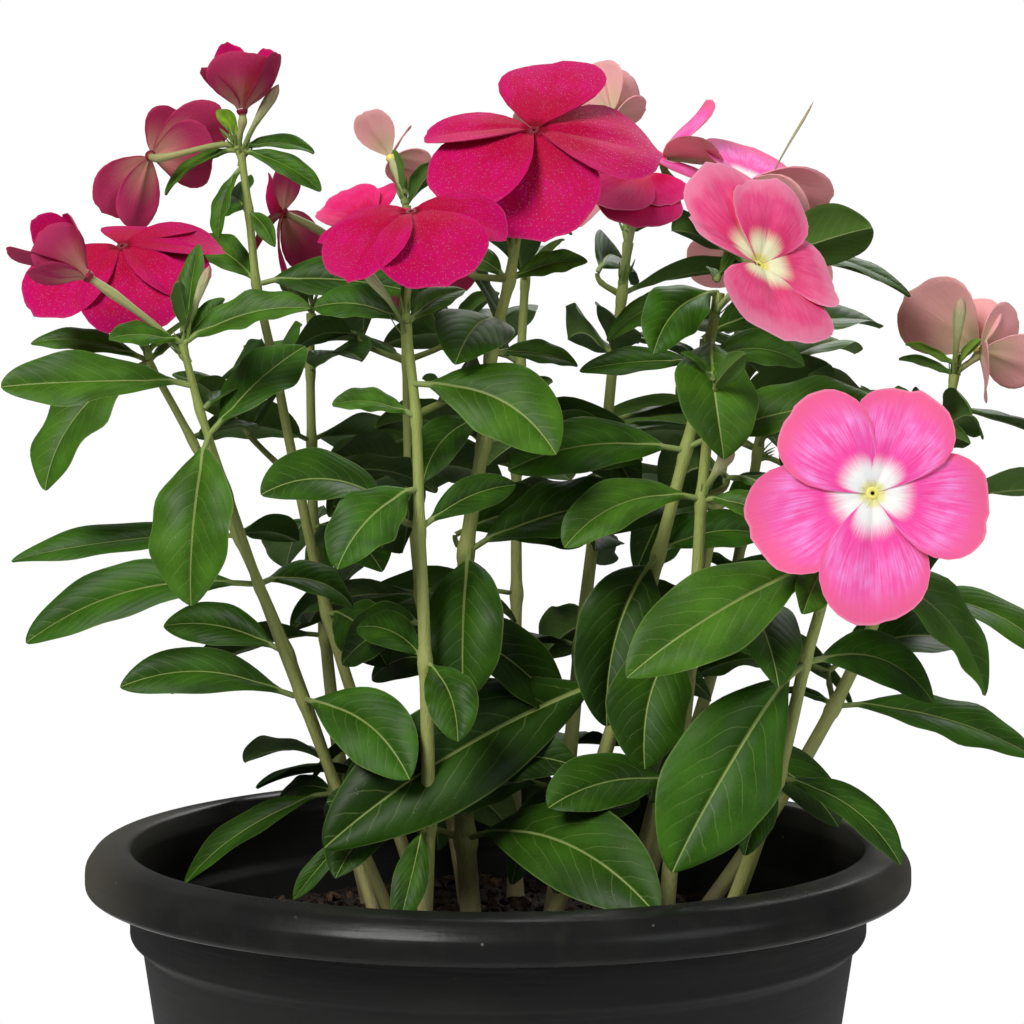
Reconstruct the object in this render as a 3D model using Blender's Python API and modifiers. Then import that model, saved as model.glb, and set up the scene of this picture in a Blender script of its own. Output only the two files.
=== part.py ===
"""Potted Madagascar periwinkle: a clump of leafy, flowering shoots in a round nursery pot.

The pot stands on the plane z = 0 with its axis on the z axis, and the front of the plant faces -Y.
Every shoot rises from the soil as a bare stem, which ends under its lowest leaves. From there on
the shoot is one mass: its stem, its leaves in crossed pairs, short twigs, buds and blooms, fused.
"""

import math
import random

import bmesh
import bpy
import numpy as np
from mathutils.bvhtree import BVHTree

MM = 0.001

# Pot: a thin moulded shell with a rim turned down all round, a band under it and a tapering wall.
POT_HEIGHT = 160 * MM
RIM_RADIUS = 95 * MM
RIM_DEPTH = 9.5 * MM
RIM_ROUND = 5 * MM
CREST_RADIUS = 88.5 * MM
WALL = 1.8 * MM
BAND_RADIUS = 85 * MM
BAND_DEPTH = 21 * MM
BAND_STEP = 2.7 * MM
BASE_RADIUS = 62 * MM
FOOT_ROUND = 2.5 * MM
FLOOR = 2.5 * MM
POT_STEPS = 36
DRAIN_HOLES = 6
DRAIN_RADIUS = 6 * MM
DRAIN_CIRCLE = 40 * MM

# Soil: it fills the pot to a little under the rim.
SOIL_TOP = 134 * MM
GAP = 0.3 * MM

# Stems: five-sided and tapering, a little thicker at the foot.
STEM_SIDES = 5
FOOT_RADIUS = 2.1 * MM
TIP_RADIUS = 1.15 * MM
FOOT_FLARE = 1.3
FLARE_HEIGHT = 4 * MM
JOINT_SHRINK = 0.82
TWIG_RADIUS = 0.8 * MM

# Leaves: a short stalk and an oblong blade with a keel, which bends down along an arc. Each turns
# its face some of the way to the light, which comes from outside the clump and from above.
STALK_SHARE = 0.11
STALK_RADIUS = 0.65 * MM
LEAF_WIDTH = 0.42
LEAF_THICKNESS = 1.0 * MM
LEAF_FOLD = 0.1
LEAF_STATIONS = (0.0, 0.27, 0.7)
LIGHT_RISE = 0.6
LIGHT_TURN = 0.8
MOST_TURN = 62
CLUMP_CENTRE = np.array((0.0, 12.0, 0.0)) * MM
FRONT = np.array((0.0, -1.0, 0.0))

# Blooms: a thin tube, which widens at the throat, and five broad petals with cut-off ends. Each
# petal is drawn by its notch and its two corners: their turn in degrees and their share of its
# length. The petals that point down droop more.
TUBE_RADII = np.array((1.0, 1.0, 1.1, 1.3, 1.8)) * MM
PETALS = 5
PETAL_THICKNESS = 0.9 * MM
PETAL_OUTLINE = ((-36, 0.72), (-19, 0.98), (19, 0.98))
PETAL_STATIONS = (0.5, 1.0)
DROOP = 0.45
BUD_RADIUS = 1.7 * MM

# How a shoot's pieces are joined: the solvers in turn, and how near corners are merged after each.
UNION_TRIES = (("EXACT", 1e-6), ("EXACT", 1e-7), ("MANIFOLD", 1e-6), ("MANIFOLD", 1e-7))

CLEARANCE = 0.35 * MM
TRIES = 14
SEED = 23


class Shoot:
    """One shoot: the sizes that its stem and its leaves follow. Lengths in mm, angles in degrees.

    base: where it leaves the soil. tip: where its stem ends. bow: how far its middle is pushed
    aside. bare: the share of it below its lowest leaves. pairs: how many pairs of leaves it has.
    turn: the heading of its lowest leaf (0 is +X, 90 is away from the front). leaf: the length of
    its largest leaves. twigs: the joints that a short twig leaves from. stout: its foot's radius
    as a share of the usual one.
    """

    def __init__(self, base, tip, bow, bare, pairs, turn, leaf, twigs=(), stout=1.0):
        self.base = np.array((*base, SOIL_TOP / MM + GAP / MM)) * MM
        self.tip = np.array(tip) * MM
        self.bow = np.array((*bow, 0)) * MM
        self.turn = turn
        self.leaf = leaf * MM
        self.twigs = twigs
        self.foot = FOOT_RADIUS * stout
        steps = JOINT_SHRINK ** np.arange(pairs - 1)
        self.joints = bare + (1 - bare) * np.concatenate(([0], np.cumsum(steps) / steps.sum()))

    def point(self, share):
        """The stem's centre at a share of its height: a straight rise, bowed at the middle."""
        return self.base + (self.tip - self.base) * share + self.bow * 4 * share * (1 - share)

    def radius(self, share):
        """The stem's radius: an even taper with a flare at the foot."""
        height = share * (self.tip[2] - self.base[2])
        flare = 1 + (FOOT_FLARE - 1) * math.exp(-height / FLARE_HEIGHT)
        return (self.foot + (TIP_RADIUS - self.foot) * share) * flare


SHOOTS = {
    "front_left": Shoot((-20, -18), (-66, -48, 272), (-3, 0), 0.22, 6, 185, 42),
    "left": Shoot((-27, 0), (-80, -7, 270), (4, 2), 0.26, 5, 165, 44),
    "back_left": Shoot((-16, 10), (-62, 14, 321), (-6, 3), 0.20, 7, 20, 42, (2,)),
    "centre_left": Shoot((-17, -42), (-19, -50, 276), (3, 0), 0.25, 5, 215, 38),
    "centre": Shoot((-5, -22), (5, -32, 300), (-7, 3), 0.17, 7, 20, 42, (), 1.3),
    "back_centre": Shoot((-8, 34), (-24, 50, 312), (-5, 4), 0.22, 6, 60, 42, (3,)),
    "right_centre": Shoot((10, -14), (48, -30, 284), (2, -3), 0.20, 6, 250, 44),
    "right_inner": Shoot((36, -30), (46, -42, 262), (0, 2), 0.33, 4, 200, 40),
    "right_front": Shoot((46, -24), (68, -61, 226), (2, -3), 0.50, 3, 225, 52),
    "far_right": Shoot((46, 14), (112, 28, 268), (9, -2), 0.40, 5, 350, 44, (2,)),
    "right_back": Shoot((30, 22), (62, 14, 306), (4, 6), 0.22, 7, 40, 44),
    "centre_back": Shoot((12, 12), (31, 24, 300), (0, 4), 0.20, 7, 110, 42, (4,)),
    "rear": Shoot((4, 52), (8, 86, 314), (-2, 8), 0.20, 6, 80, 48, (2,)),
    "rear_left": Shoot((-32, 36), (-50, 74, 286), (-6, 6), 0.22, 6, 130, 46, (1,)),
    "rear_right": Shoot((36, 44), (72, 70, 284), (6, 8), 0.20, 6, 50, 48, (1,)),
}

# Leaves that stand out singly: where the tip lies from its joint (x, y, z in mm), the angle that
# the blade bends through and its width as a share of its length, by shoot and joint. A joint
# with none of these has a pair of leaves that follows the rule.
POSED_LEAVES = {
    "front_left": {
        0: ((-13, -5, -14, 30, 0.3), (10, 22, 6, 50, 0.4)),
        1: ((-39, -3, 3, 35, 0.36), (25, -12, -15, 40, 0.42)),
        2: ((-51, 3, -13, 40, 0.3), (20, 24, -6, 60, 0.36)),
        3: ((-9, -17, -30, 85, 0.52), (17, 14, 18, 15, 0.42)),
        4: ((-38, -6, 3, 30, 0.38), (8, 20, 4, 40, 0.4)),
        5: ((3, -3, 21, -12, 0.4), (27, -6, 8, 40, 0.38), (-14, -9, 1, 35, 0.5), (8, 2, 12, 5, 0.4)),
    },
    "left": {
        0: ((-36, 1, -22, 55, 0.28), (-16, 14, -4, 45, 0.3)),
        1: ((-30, 8, 6, 35, 0.42), (14, 26, 8, 40, 0.36)),
        2: ((-52, 1, -6, 30, 0.26), (12, 26, -2, 50, 0.36)),
        3: ((-16, 16, 2, 40, 0.4), (14, 18, 4, 40, 0.36)),
        4: ((-21, -9, -26, 75, 0.56), (-28, 2, 5, 30, 0.3), (9, 10, 8, 30, 0.4)),
    },
    "back_left": {
        4: ((36, -4, -2, 40, 0.42), (-18, 16, 12, 35, 0.38)),
        6: ((-22, -4, -8, 75, 0.42), (18, 3, 2, 70, 0.42), (3, -15, -7, 60, 0.45)),
    },
    "centre_left": {
        0: ((-5, -13, -19, 45, 0.36), (-22, 6, 4, 60, 0.4)),
        1: ((7, -15, -15, 55, 0.55), (-16, 18, 6, 45, 0.4)),
        2: ((-20, -12, -12, 65, 0.52), (20, 10, 9, 30, 0.4)),
        3: ((29, -11, -13, 50, 0.5), (-16, -4, 6, 35, 0.44)),
        4: ((-21, 2, 9, 45, 0.48), (12, 12, 8, 30, 0.4)),
    },
    "centre": {
        0: ((40, -43, -8, 62, 0.38), (-24, 12, 8, 50, 0.36)),
        1: ((14, -12, -6, 50, 0.42), (-22, 26, -2, 60, 0.36)),
        2: ((-1, -17, -31, 75, 0.56), (38, 9, 12, 35, 0.44)),
        3: ((-13, -14, -14, 55, 0.5), (36, 8, -4, 45, 0.44)),
        4: ((-14, -20, -10, 60, 0.5), (19, 8, -2, 40, 0.36)),
        5: ((17, -1, 6, 20, 0.38), (-14, 12, 6, 40, 0.4)),
    },
    "right_centre": {
        0: ((-6, -20, -10, 60, 0.4), (14, 18, 4, 50, 0.36)),
        1: ((-60, -37, -27, 45, 0.34), (22, 18, -6, 50, 0.36)),
        2: ((-12, -17, -36, 60, 0.5), (26, 14, 4, 50, 0.38)),
        4: ((5, -17, -24, 70, 0.58), (-30, 10, -12, 40, 0.3), (24, 12, 0, 50, 0.4)),
        5: ((-15, -17, -14, 55, 0.54), (-24, 8, -10, 40, 0.3)),
    },
    "right_inner": {
        0: ((-26, -18, -9, 50, 0.5), (16, 10, -6, 50, 0.4)),
        1: ((-11, -18, -28, 65, 0.56), (18, 10, -8, 60, 0.4)),
        2: ((-30, -10, -10, 65, 0.4), (17, -8, -6, 50, 0.46)),
    },
    "right_front": {
        0: ((26, -5, -18, 50, 0.34), (-8, -16, -14, 60, 0.4)),
        1: ((-29, -21, -40, 42, 0.5), (30, 16, -10, 55, 0.4)),
        2: ((-42, -14, -22, 40, 0.44), (37, 12, -28, 75, 0.42), (-6, -12, -9, 60, 0.6)),
    },
    "far_right": {
        0: ((47, -6, -12, 45, 0.34), (-16, 14, 2, 50, 0.4)),
        1: ((40, -12, -16, 50, 0.36), (-24, 8, 6, 40, 0.42)),
    },
}

# Blooms: the shoot and the share of it that the tube leaves from, the centre (mm), the heading
# and rise of the way it faces, the width across (mm), how far its petals lean out (0 is a closed
# tube, 90 is flat), the angle that each petal bends through, and the turn of its first petal.
BLOOMS = {
    "top_crimson": ("centre", 0.95, (9, -37, 319), (266, 34), 54, 90, 30, 90),
    "low_crimson": ("centre_left", 1.0, (-23, -57, 299), (250, 74), 46, 98, 38, 30),
    "left_crimson": ("left", 1.0, (-83, -14, 299), (110, 78), 56, 98, 50, 0),
    "tall_crimson": ("back_left", 1.0, (-84, 22, 319), (140, 32), 42, 96, 30, 20),
    "cup_high": ("back_left", 1.0, (-61, 12, 331), (180, 84), 34, 12, 38, 10),
    "cup_left": ("front_left", 0.97, (-86, -53, 284), (190, 48), 36, 14, 34, 40),
    "side_magenta": ("back_centre", 0.86, (-49, 40, 306), (165, 20), 40, 92, 25, 80),
    "pale_back": ("back_centre", 1.0, (-29, 60, 328), (150, 50), 38, 66, 25, 15),
    "rosy_back": ("back_centre", 0.93, (-36, 62, 304), (200, 60), 40, 94, 30, 50),
    "high_pink": ("right_back", 1.0, (46, 20, 325), (150, 50), 40, 90, 35, 60),
    "flat_pink": ("right_back", 0.96, (66, 16, 320), (60, 62), 42, 92, 40, 10),
    "pale_high": ("centre_back", 1.0, (26, 40, 331), (80, 38), 34, 84, 20, 40),
    "low_pink": ("centre_back", 0.93, (33, 10, 304), (290, 55), 36, 92, 35, 30),
    "salmon": ("right_centre", 0.96, (56, -42, 288), (252, 12), 44, 72, -12, 100),
    "main_pink": ("right_front", 1.0, (75, -74, 241), (270, 6), 52, 90, 12, 55),
    "far_pink": ("far_right", 1.0, (122, 32, 277), (25, 52), 46, 90, 25, 20),
    "rear_pink": ("rear", 1.0, (12, 104, 331), (95, 40), 44, 92, 25, 15),
    "rear_left_crimson": ("rear_left", 1.0, (-26, 101, 306), (115, 60), 44, 94, 30, 50),
    "rear_right_pink": ("rear_right", 1.0, (72, 88, 304), (60, 48), 42, 92, 25, 35),
    "rear_low_pink": ("rear_right", 0.75, (98, 66, 240), (20, 35), 46, 92, 25, 10),
}

# Closed buds: the shoot and the share of it that they leave from, and where their tips lie (mm).
BUDS = (
    ("back_left", 0.98, (-52, 10, 336)),
    ("centre_left", 0.97, (-29, -56, 289)),
    ("right_inner", 0.81, (50, -45, 250)),
    ("right_back", 0.98, (76, 22, 334)),
    ("far_right", 0.98, (112, 22, 287)),
    ("front_left", 0.99, (-60, -52, 288)),
    ("rear", 0.97, (-4, 92, 330)),
)


def unit(vector):
    return vector / np.linalg.norm(vector)


def direction(heading, rise):
    """A unit vector from a heading about +Z and a rise above the level, in degrees."""
    turn = math.radians(heading)
    lift = math.radians(rise)
    return np.array((math.cos(turn) * math.cos(lift), math.sin(turn) * math.cos(lift), math.sin(lift)))


def across(forward):
    """A level unit vector square to a direction, and the one square to both."""
    side = np.cross(forward, (0.0, 0.0, 1.0))
    if np.linalg.norm(side) < 1e-3:
        side = np.array((1.0, 0.0, 0.0))
    side = unit(side)
    return side, np.cross(side, forward)


def loft(rings, tip=None):
    """A closed skin over rings of points, all of one count, with an optional point at its end."""
    sides = len(rings[0])
    points = np.concatenate(rings)
    faces = [tuple(range(sides))[::-1]]
    for ring in range(len(rings) - 1):
        start = ring * sides
        for corner in range(sides):
            after = (corner + 1) % sides
            faces.append((start + corner, start + after, start + sides + after, start + sides + corner))
    last = (len(rings) - 1) * sides
    if tip is None:
        faces.append(tuple(range(last, last + sides)))
    else:
        points = np.vstack((points, tip))
        faces += [(last + k, last + (k + 1) % sides, last + sides) for k in range(sides)]
    return points, faces


def tube(centres, radii, sides, tip=None, level_foot=False):
    """A skin of round rings square to the way that their centres run, the first one level if asked."""
    centres = np.array(centres)
    ways = np.gradient(centres, axis=0)
    if level_foot:
        ways[0] = (0, 0, 1)
    angles = np.arange(sides) * 2 * math.pi / sides
    side, _ = across(unit(ways[0]) + (0.0, 0.0, 1e-6))
    rings = []
    for centre, way, radius in zip(centres, ways, radii):
        way = unit(way)
        side = unit(side - way * np.dot(side, way))
        other = np.cross(way, side)
        rings.append(centre + radius * (np.outer(np.cos(angles), side) + np.outer(np.sin(angles), other)))
    return loft(rings, tip)


class Arc:
    """The arc that a blade follows: it starts at an angle above `ahead` and bends down evenly."""

    def __init__(self, root, ahead, up, length, start, bend):
        self.root = root
        self.ahead = ahead
        self.up = up
        self.length = length
        self.start = math.radians(start)
        self.bend = math.radians(bend if abs(bend) > 1 else 1)

    def angle(self, share):
        return self.start - self.bend * share

    def point(self, share):
        """The angle falls evenly, so the run and the rise are differences of sines and cosines."""
        angle = self.angle(share)
        run = (math.sin(self.start) - math.sin(angle)) / self.bend
        rise = (math.cos(angle) - math.cos(self.start)) / self.bend
        return self.root + self.length * (self.ahead * run + self.up * rise)

    def normal(self, share):
        angle = self.angle(share)
        return self.up * math.cos(angle) - self.ahead * math.sin(angle)

    def ring(self, share, half_width, depth, roll, fold):
        """A blade's section: its two edges, lifted by the fold, and its keel under the middle."""
        normal = self.normal(share)
        beside = np.cross(self.ahead, self.up)
        side = beside * math.cos(roll) + normal * math.sin(roll)
        over = normal * math.cos(roll) - beside * math.sin(roll)
        centre = self.point(share) + over * depth / 2
        edge = over * half_width * fold
        return np.array((
            centre - side * half_width + edge,
            centre - over * depth,
            centre + side * half_width + edge,
        ))

    def roll_to(self, light):
        """The turn about the arc that brings its upper face towards a direction."""
        turn = math.atan2(-np.dot(light, np.cross(self.ahead, self.up)), np.dot(light, self.normal(0.6)))
        most = math.radians(MOST_TURN)
        return min(max(turn * LIGHT_TURN, -most), most)


def leaf_half_width(share):
    """An oblong outline, widest past its middle, with a blunt tip: half its width, at most 0.5."""
    return 0.5 * math.sin(math.pi * share ** 0.92) ** 0.72


def leaf_arc(root, reach, bend):
    """The arc of a leaf whose tip lies `reach` from its root: it rises and falls by half its bend."""
    chord = np.linalg.norm(reach)
    ahead = reach / chord
    half = math.radians(bend if abs(bend) > 1 else 1) / 2
    _, up = across(ahead)
    return Arc(root, ahead, up, chord * half / math.sin(half), bend / 2, bend)


def leaf(arc, width, roll, extra=0.0, stalk=True):
    """A leaf's solid: a stalk that starts inside the stem, and a thin blade that ends in a point."""
    rings = []
    if stalk:
        rings.append(arc.ring(0.0, STALK_RADIUS + extra, 2 * STALK_RADIUS + 2 * extra, roll, 0.0))
    for station in LEAF_STATIONS:
        half_width = max(leaf_half_width(station) * width * arc.length, STALK_RADIUS) + extra
        depth = (LEAF_THICKNESS if station else 2 * STALK_RADIUS) + 2 * extra
        share = STALK_SHARE + (1 - STALK_SHARE) * station
        rings.append(arc.ring(share, half_width, depth, roll, LEAF_FOLD if station else 0.0))
    return loft(rings, arc.point(1.0 + extra / arc.length))


def corolla(centre, facing, lean, turn, bend, size, extra=0.0):
    """A bloom's petals as one thin skin: spokes that leave the throat at their lean from the
    bloom's axis and bend back, long at the petals' corners and short at the notches between."""
    side, up = across(facing)
    corners = [
        (math.radians(turn + number * 360 / PETALS + angle), length)
        for number in range(PETALS) for angle, length in PETAL_OUTLINE
    ]
    half = PETAL_THICKNESS / 2 + extra
    front = [[] for _ in PETAL_STATIONS]
    back = [[] for _ in PETAL_STATIONS]
    for angle, length in corners:
        outward = side * math.cos(angle) + up * math.sin(angle)
        droop = bend * (1 - DROOP * outward[2])
        arc = Arc(centre, outward, facing, size * length + extra, 90 - lean, droop)
        for row, share in enumerate(PETAL_STATIONS):
            front[row].append(arc.point(share) + arc.normal(share) * half)
            back[row].append(arc.point(share) - arc.normal(share) * half)
    count = len(corners)
    points = np.array([centre + facing * half, *front[0], *front[1], *back[1], *back[0], centre - facing * half])
    faces = []
    for k in range(count):
        after = (k + 1) % count
        faces.append((0, 1 + after, 1 + k))
        for row in range(3):
            start = 1 + row * count
            faces.append((start + k, start + after, start + count + after, start + count + k))
        faces.append((1 + 3 * count + k, 1 + 3 * count + after, 1 + 4 * count))
    return points, faces


def swerve(start, way, end, arrival, count):
    """Points of a smooth curve that leaves `start` along `way` and reaches `end` along `arrival`."""
    shares = np.linspace(0, 1, count)[:, None]
    first = start + way
    second = end - arrival
    return ((1 - shares) ** 3 * start + 3 * (1 - shares) ** 2 * shares * first
            + 3 * (1 - shares) * shares ** 2 * second + shares ** 3 * end)


class Piece:
    """A closed skin, with the tree that finds where it crosses another."""

    def __init__(self, skin):
        self.points, self.faces = skin
        self.tree = BVHTree.FromPolygons(self.points.tolist(), self.faces)
        self.low = self.points.min(axis=0)
        self.high = self.points.max(axis=0)

    def crosses(self, other):
        if np.any(self.low > other.high) or np.any(other.low > self.high):
            return False
        return bool(self.tree.overlap(other.tree))


class Bed:
    """What stands in the pot so far. A new piece has to keep clear of every other shoot's pieces,
    and a new blade also of its own shoot's blades."""

    def __init__(self):
        self.fixed = []
        self.pieces = {}
        self.blades = {}

    def add(self, owner, piece, blade=None):
        self.pieces.setdefault(owner, []).append(piece)
        self.blades.setdefault(owner, []).append(blade or piece)

    def is_clear(self, owner, padded, blade):
        others = list(self.fixed)
        for name, pieces in self.pieces.items():
            if name != owner:
                others += pieces
        own = self.blades.get(owner, [])
        return not any(padded.crosses(item) for item in others) and not any(blade.crosses(item) for item in own)


def lengthwise(reach, heading, rise):
    """A reach turned about +Z and tipped up or down, in degrees, at its own length."""
    length = np.linalg.norm(reach)
    level = math.degrees(math.atan2(reach[1], reach[0])) + heading
    steep = math.degrees(math.asin(np.clip(reach[2] / length, -1, 1))) + rise
    return direction(level, min(max(steep, -88), 88)) * length


def settle_leaf(bed, owner, chance, root, reach, bend, width, light, spread):
    """Place a leaf, turned a little more at each try until it is clear; the last try gives up."""
    for attempt in range(TRIES):
        swing = spread * attempt / TRIES
        heading = chance.uniform(-1, 1) * swing
        rise = chance.uniform(-0.7, 0.7) * swing
        arc = leaf_arc(root, lengthwise(reach, heading, rise), bend)
        roll = arc.roll_to(light) + math.radians(chance.uniform(-10, 10))
        padded = Piece(leaf(arc, width, roll, CLEARANCE))
        blade = Piece(leaf(arc, width, roll, CLEARANCE / 2, stalk=False))
        if bed.is_clear(owner, padded, blade):
            bed.add(owner, Piece(leaf(arc, width, roll)), blade)
            return arc, width, roll
    return None


def light_at(root):
    """Where the light comes from at a place in the clump: outside it and above."""
    outward = (root - CLUMP_CENTRE) * (1, 1, 0)
    return unit(outward) + (0, 0, LIGHT_RISE)


def rule_pair(chance, shoot, number):
    """The two leaves of a joint that follows the rule: crossed pairs, large and drooping below,
    small and upright near the tip."""
    height = number / (len(shoot.joints) - 1)
    heading = shoot.turn + 90 * number + chance.uniform(-16, 16)
    size = shoot.leaf * (0.72 + 0.28 * math.sin(math.pi * (0.15 + 0.75 * height)))
    if number == len(shoot.joints) - 1:
        size *= 0.45
    leaves = []
    for side in (0, 180):
        rise = 2 + 34 * height ** 2 + chance.uniform(-10, 8)
        bend = 62 - 38 * height + chance.uniform(-14, 14)
        length = size * chance.uniform(0.82, 1.1)
        way = direction(heading + side + chance.uniform(-12, 12), rise - bend * 0.22)
        leaves.append((way * length, bend, LEAF_WIDTH * chance.uniform(0.9, 1.12)))
    return leaves


def grow_leaves(bed, name, shoot, chance):
    """Every leaf of a shoot, those that stand out singly first. Gives each leaf's arc and shape."""
    leaves = []
    posed = POSED_LEAVES.get(name, {})
    for number, share in enumerate(shoot.joints):
        root = shoot.point(share)
        light = light_at(root)
        if number in posed:
            pairs = [(np.array(row[:3]) * MM, row[3], row[4]) for row in posed[number]]
            light = light + FRONT
            spread = 26
        else:
            pairs = rule_pair(chance, shoot, number)
            spread = 70
        for reach, bend, width in pairs:
            placed = settle_leaf(bed, name, chance, root, reach, bend, width, light, spread)
            if placed:
                leaves.append(placed)
    return leaves


def grow_twigs(bed, name, shoot, chance):
    """Short twigs from the axils, each with a pair of small leaves and a smaller pair at its tip."""
    twigs = []
    leaves = []
    for number in shoot.twigs:
        root = shoot.point(shoot.joints[number])
        for _ in range(TRIES):
            way = direction(chance.uniform(0, 360), chance.uniform(28, 55))
            end = root + way * chance.uniform(16, 26) * MM
            route = swerve(root, way * 4 * MM, end, np.array((0, 0, 5 * MM)), 4)
            radii = np.linspace(1.3, 1.0, 4) * TWIG_RADIUS
            padded = Piece(tube(route, radii + CLEARANCE, 3))
            blade = Piece(tube(route[1:], radii[1:], 3))
            if bed.is_clear(name, padded, blade):
                break
        else:
            continue
        skin = tube(route, radii, 3, end + np.array((0, 0, 2 * MM)))
        bed.add(name, Piece(skin), blade)
        twigs.append((route, radii))
        turn = chance.uniform(0, 180)
        for share, size in ((2, 0.62), (3, 0.42)):
            for side in (0, 180):
                way = direction(turn + side + 90 * share, 28)
                reach = way * shoot.leaf * size * chance.uniform(0.85, 1.1)
                light = light_at(route[share])
                placed = settle_leaf(bed, name, chance, route[share], reach, 35, LEAF_WIDTH, light, 60)
                if placed:
                    leaves.append(placed)
    return twigs, leaves


def bloom_skins(shoot, share, centre, faces, width, lean, bend, turn, extra=0.0):
    """A bloom's solids: its tube from the axil to the throat, and its petals."""
    facing = direction(*faces)
    centre = np.array(centre) * MM
    root = shoot.point(share)
    reach = np.linalg.norm(centre - root)
    route = swerve(root, direction(faces[0], 60) * reach * 0.25, centre, facing * reach * 0.4, len(TUBE_RADII))
    petals = corolla(centre - facing * PETAL_THICKNESS, facing, lean, turn, bend, width * MM / 2, extra)
    return [tube(route, TUBE_RADII + extra, 4), petals]


def bud_skin(shoot, share, tip, extra=0.0):
    """A closed bud: a thin stalk that swells to a spindle and ends in a point."""
    root = shoot.point(share)
    tip = np.array(tip) * MM
    reach = np.linalg.norm(tip - root)
    route = swerve(root, np.array((0, 0, reach * 0.3)), tip, (tip - root) * 0.2, 6)[:-1]
    radii = np.array((0.5, 0.45, 0.55, 1.0, 0.7)) * BUD_RADIUS + extra
    return tube(route, radii, 4, tip)


def stem_skin(shoot, marks, tip=None):
    """A stretch of a shoot's stem, with a ring at each of its marks and a level cut at the soil."""
    centres = [shoot.point(mark) for mark in marks]
    radii = [shoot.radius(mark) for mark in marks]
    return tube(centres, radii, STEM_SIDES, tip, level_foot=marks[0] == 0)


def grow():
    """Every shoot's skins: its bare stem, and the pieces that its leafy mass is fused from."""
    chance = random.Random(SEED)
    bed = Bed()
    bed.fixed = [Piece(skin) for skin in pot_walls()]
    stems = {}
    masses = {}
    for name, shoot in SHOOTS.items():
        rise = np.linalg.norm(shoot.tip - shoot.base)
        start = shoot.joints[0] - 4 * MM / rise
        stems[name] = stem_skin(shoot, np.linspace(0, start - GAP / rise, 5))
        bed.fixed.append(Piece(stems[name]))
        leafy = stem_skin(shoot, (start, *shoot.joints), shoot.tip + np.array((0, 0, 3 * MM)))
        bed.add(name, Piece(leafy))
        masses[name] = [leafy]
    for owner, *sizes in BLOOMS.values():
        for skin in bloom_skins(SHOOTS[owner], *sizes):
            bed.add(owner, Piece(skin))
            masses[owner].append(skin)
    for owner, share, tip in BUDS:
        skin = bud_skin(SHOOTS[owner], share, tip)
        bed.add(owner, Piece(skin))
        masses[owner].append(skin)
    for name in sorted(SHOOTS, key=lambda name: name not in POSED_LEAVES):
        for arc, width, roll in grow_leaves(bed, name, SHOOTS[name], chance):
            masses[name].append(leaf(arc, width, roll))
    for name, shoot in SHOOTS.items():
        twigs, leaves = grow_twigs(bed, name, shoot, chance)
        masses[name] += [tube(route, radii, 3, route[-1] + np.array((0, 0, 2 * MM))) for route, radii in twigs]
        masses[name] += [leaf(arc, width, roll) for arc, width, roll in leaves]
    return stems, masses


def pot_radius(height):
    """The outer radius of the pot's tapering wall at a height."""
    top = POT_HEIGHT - BAND_DEPTH
    return BASE_RADIUS + (BAND_RADIUS - BAND_STEP - BASE_RADIUS) * min(height / top, 1.0)


def pot_profile():
    """The pot's closed section (radius, height), from the middle of its floor up the inside, over
    the rim and down the outside to the middle of its underside."""
    band = POT_HEIGHT - BAND_DEPTH
    lip = POT_HEIGHT - RIM_DEPTH
    bend = POT_HEIGHT - RIM_ROUND
    shoulder = RIM_RADIUS - RIM_ROUND
    inner = [
        (0, FLOOR),
        (pot_radius(FLOOR) - WALL, FLOOR),
        (pot_radius(band) - WALL, band + WALL),
        (BAND_RADIUS - WALL, band + 2 * WALL),
        (BAND_RADIUS - WALL, bend),
        (CREST_RADIUS - 2 * WALL, POT_HEIGHT - 0.25 * WALL),
        (CREST_RADIUS - 0.5 * WALL, POT_HEIGHT),
    ]
    over = []
    under = []
    for angle in (90, 60, 30, 0):
        turn = math.radians(angle)
        over.append((shoulder + RIM_ROUND * math.cos(turn), bend + RIM_ROUND * math.sin(turn)))
        inside = RIM_ROUND - WALL
        under.append((shoulder + inside * math.cos(turn), bend + inside * math.sin(turn)))
    outer = [
        (RIM_RADIUS, lip),
        (RIM_RADIUS - WALL, lip),
        *reversed(under),
        (BAND_RADIUS + 0.5 * WALL, bend + RIM_ROUND - WALL),
        (BAND_RADIUS, bend),
        (BAND_RADIUS, band),
        (pot_radius(band), band - 0.6 * BAND_STEP),
        (pot_radius(FOOT_ROUND), FOOT_ROUND),
        (BASE_RADIUS - 0.3 * FOOT_ROUND, 0.3 * FOOT_ROUND),
        (BASE_RADIUS - FOOT_ROUND, 0),
        (0, 0),
    ]
    return inner + over + outer


def pot_walls():
    """The pot from halfway up its outside, over the rim and down to the soil, as one closed skin."""
    angles = np.arange(POT_STEPS) * 2 * math.pi / POT_STEPS
    circle = np.stack((np.cos(angles), np.sin(angles), np.zeros(POT_STEPS)), axis=1)
    outline = [
        (pot_radius(POT_HEIGHT / 2), POT_HEIGHT / 2),
        (BAND_RADIUS, POT_HEIGHT - RIM_DEPTH),
        (RIM_RADIUS, POT_HEIGHT - RIM_DEPTH),
        (RIM_RADIUS, POT_HEIGHT - RIM_ROUND),
        (RIM_RADIUS - 0.3 * RIM_ROUND, POT_HEIGHT - 0.3 * RIM_ROUND),
        (CREST_RADIUS, POT_HEIGHT),
        (BAND_RADIUS - WALL, POT_HEIGHT),
        (pot_radius(SOIL_TOP) - WALL, SOIL_TOP),
    ]
    return [loft([circle * radius + (0, 0, height) for radius, height in outline])]


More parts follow.
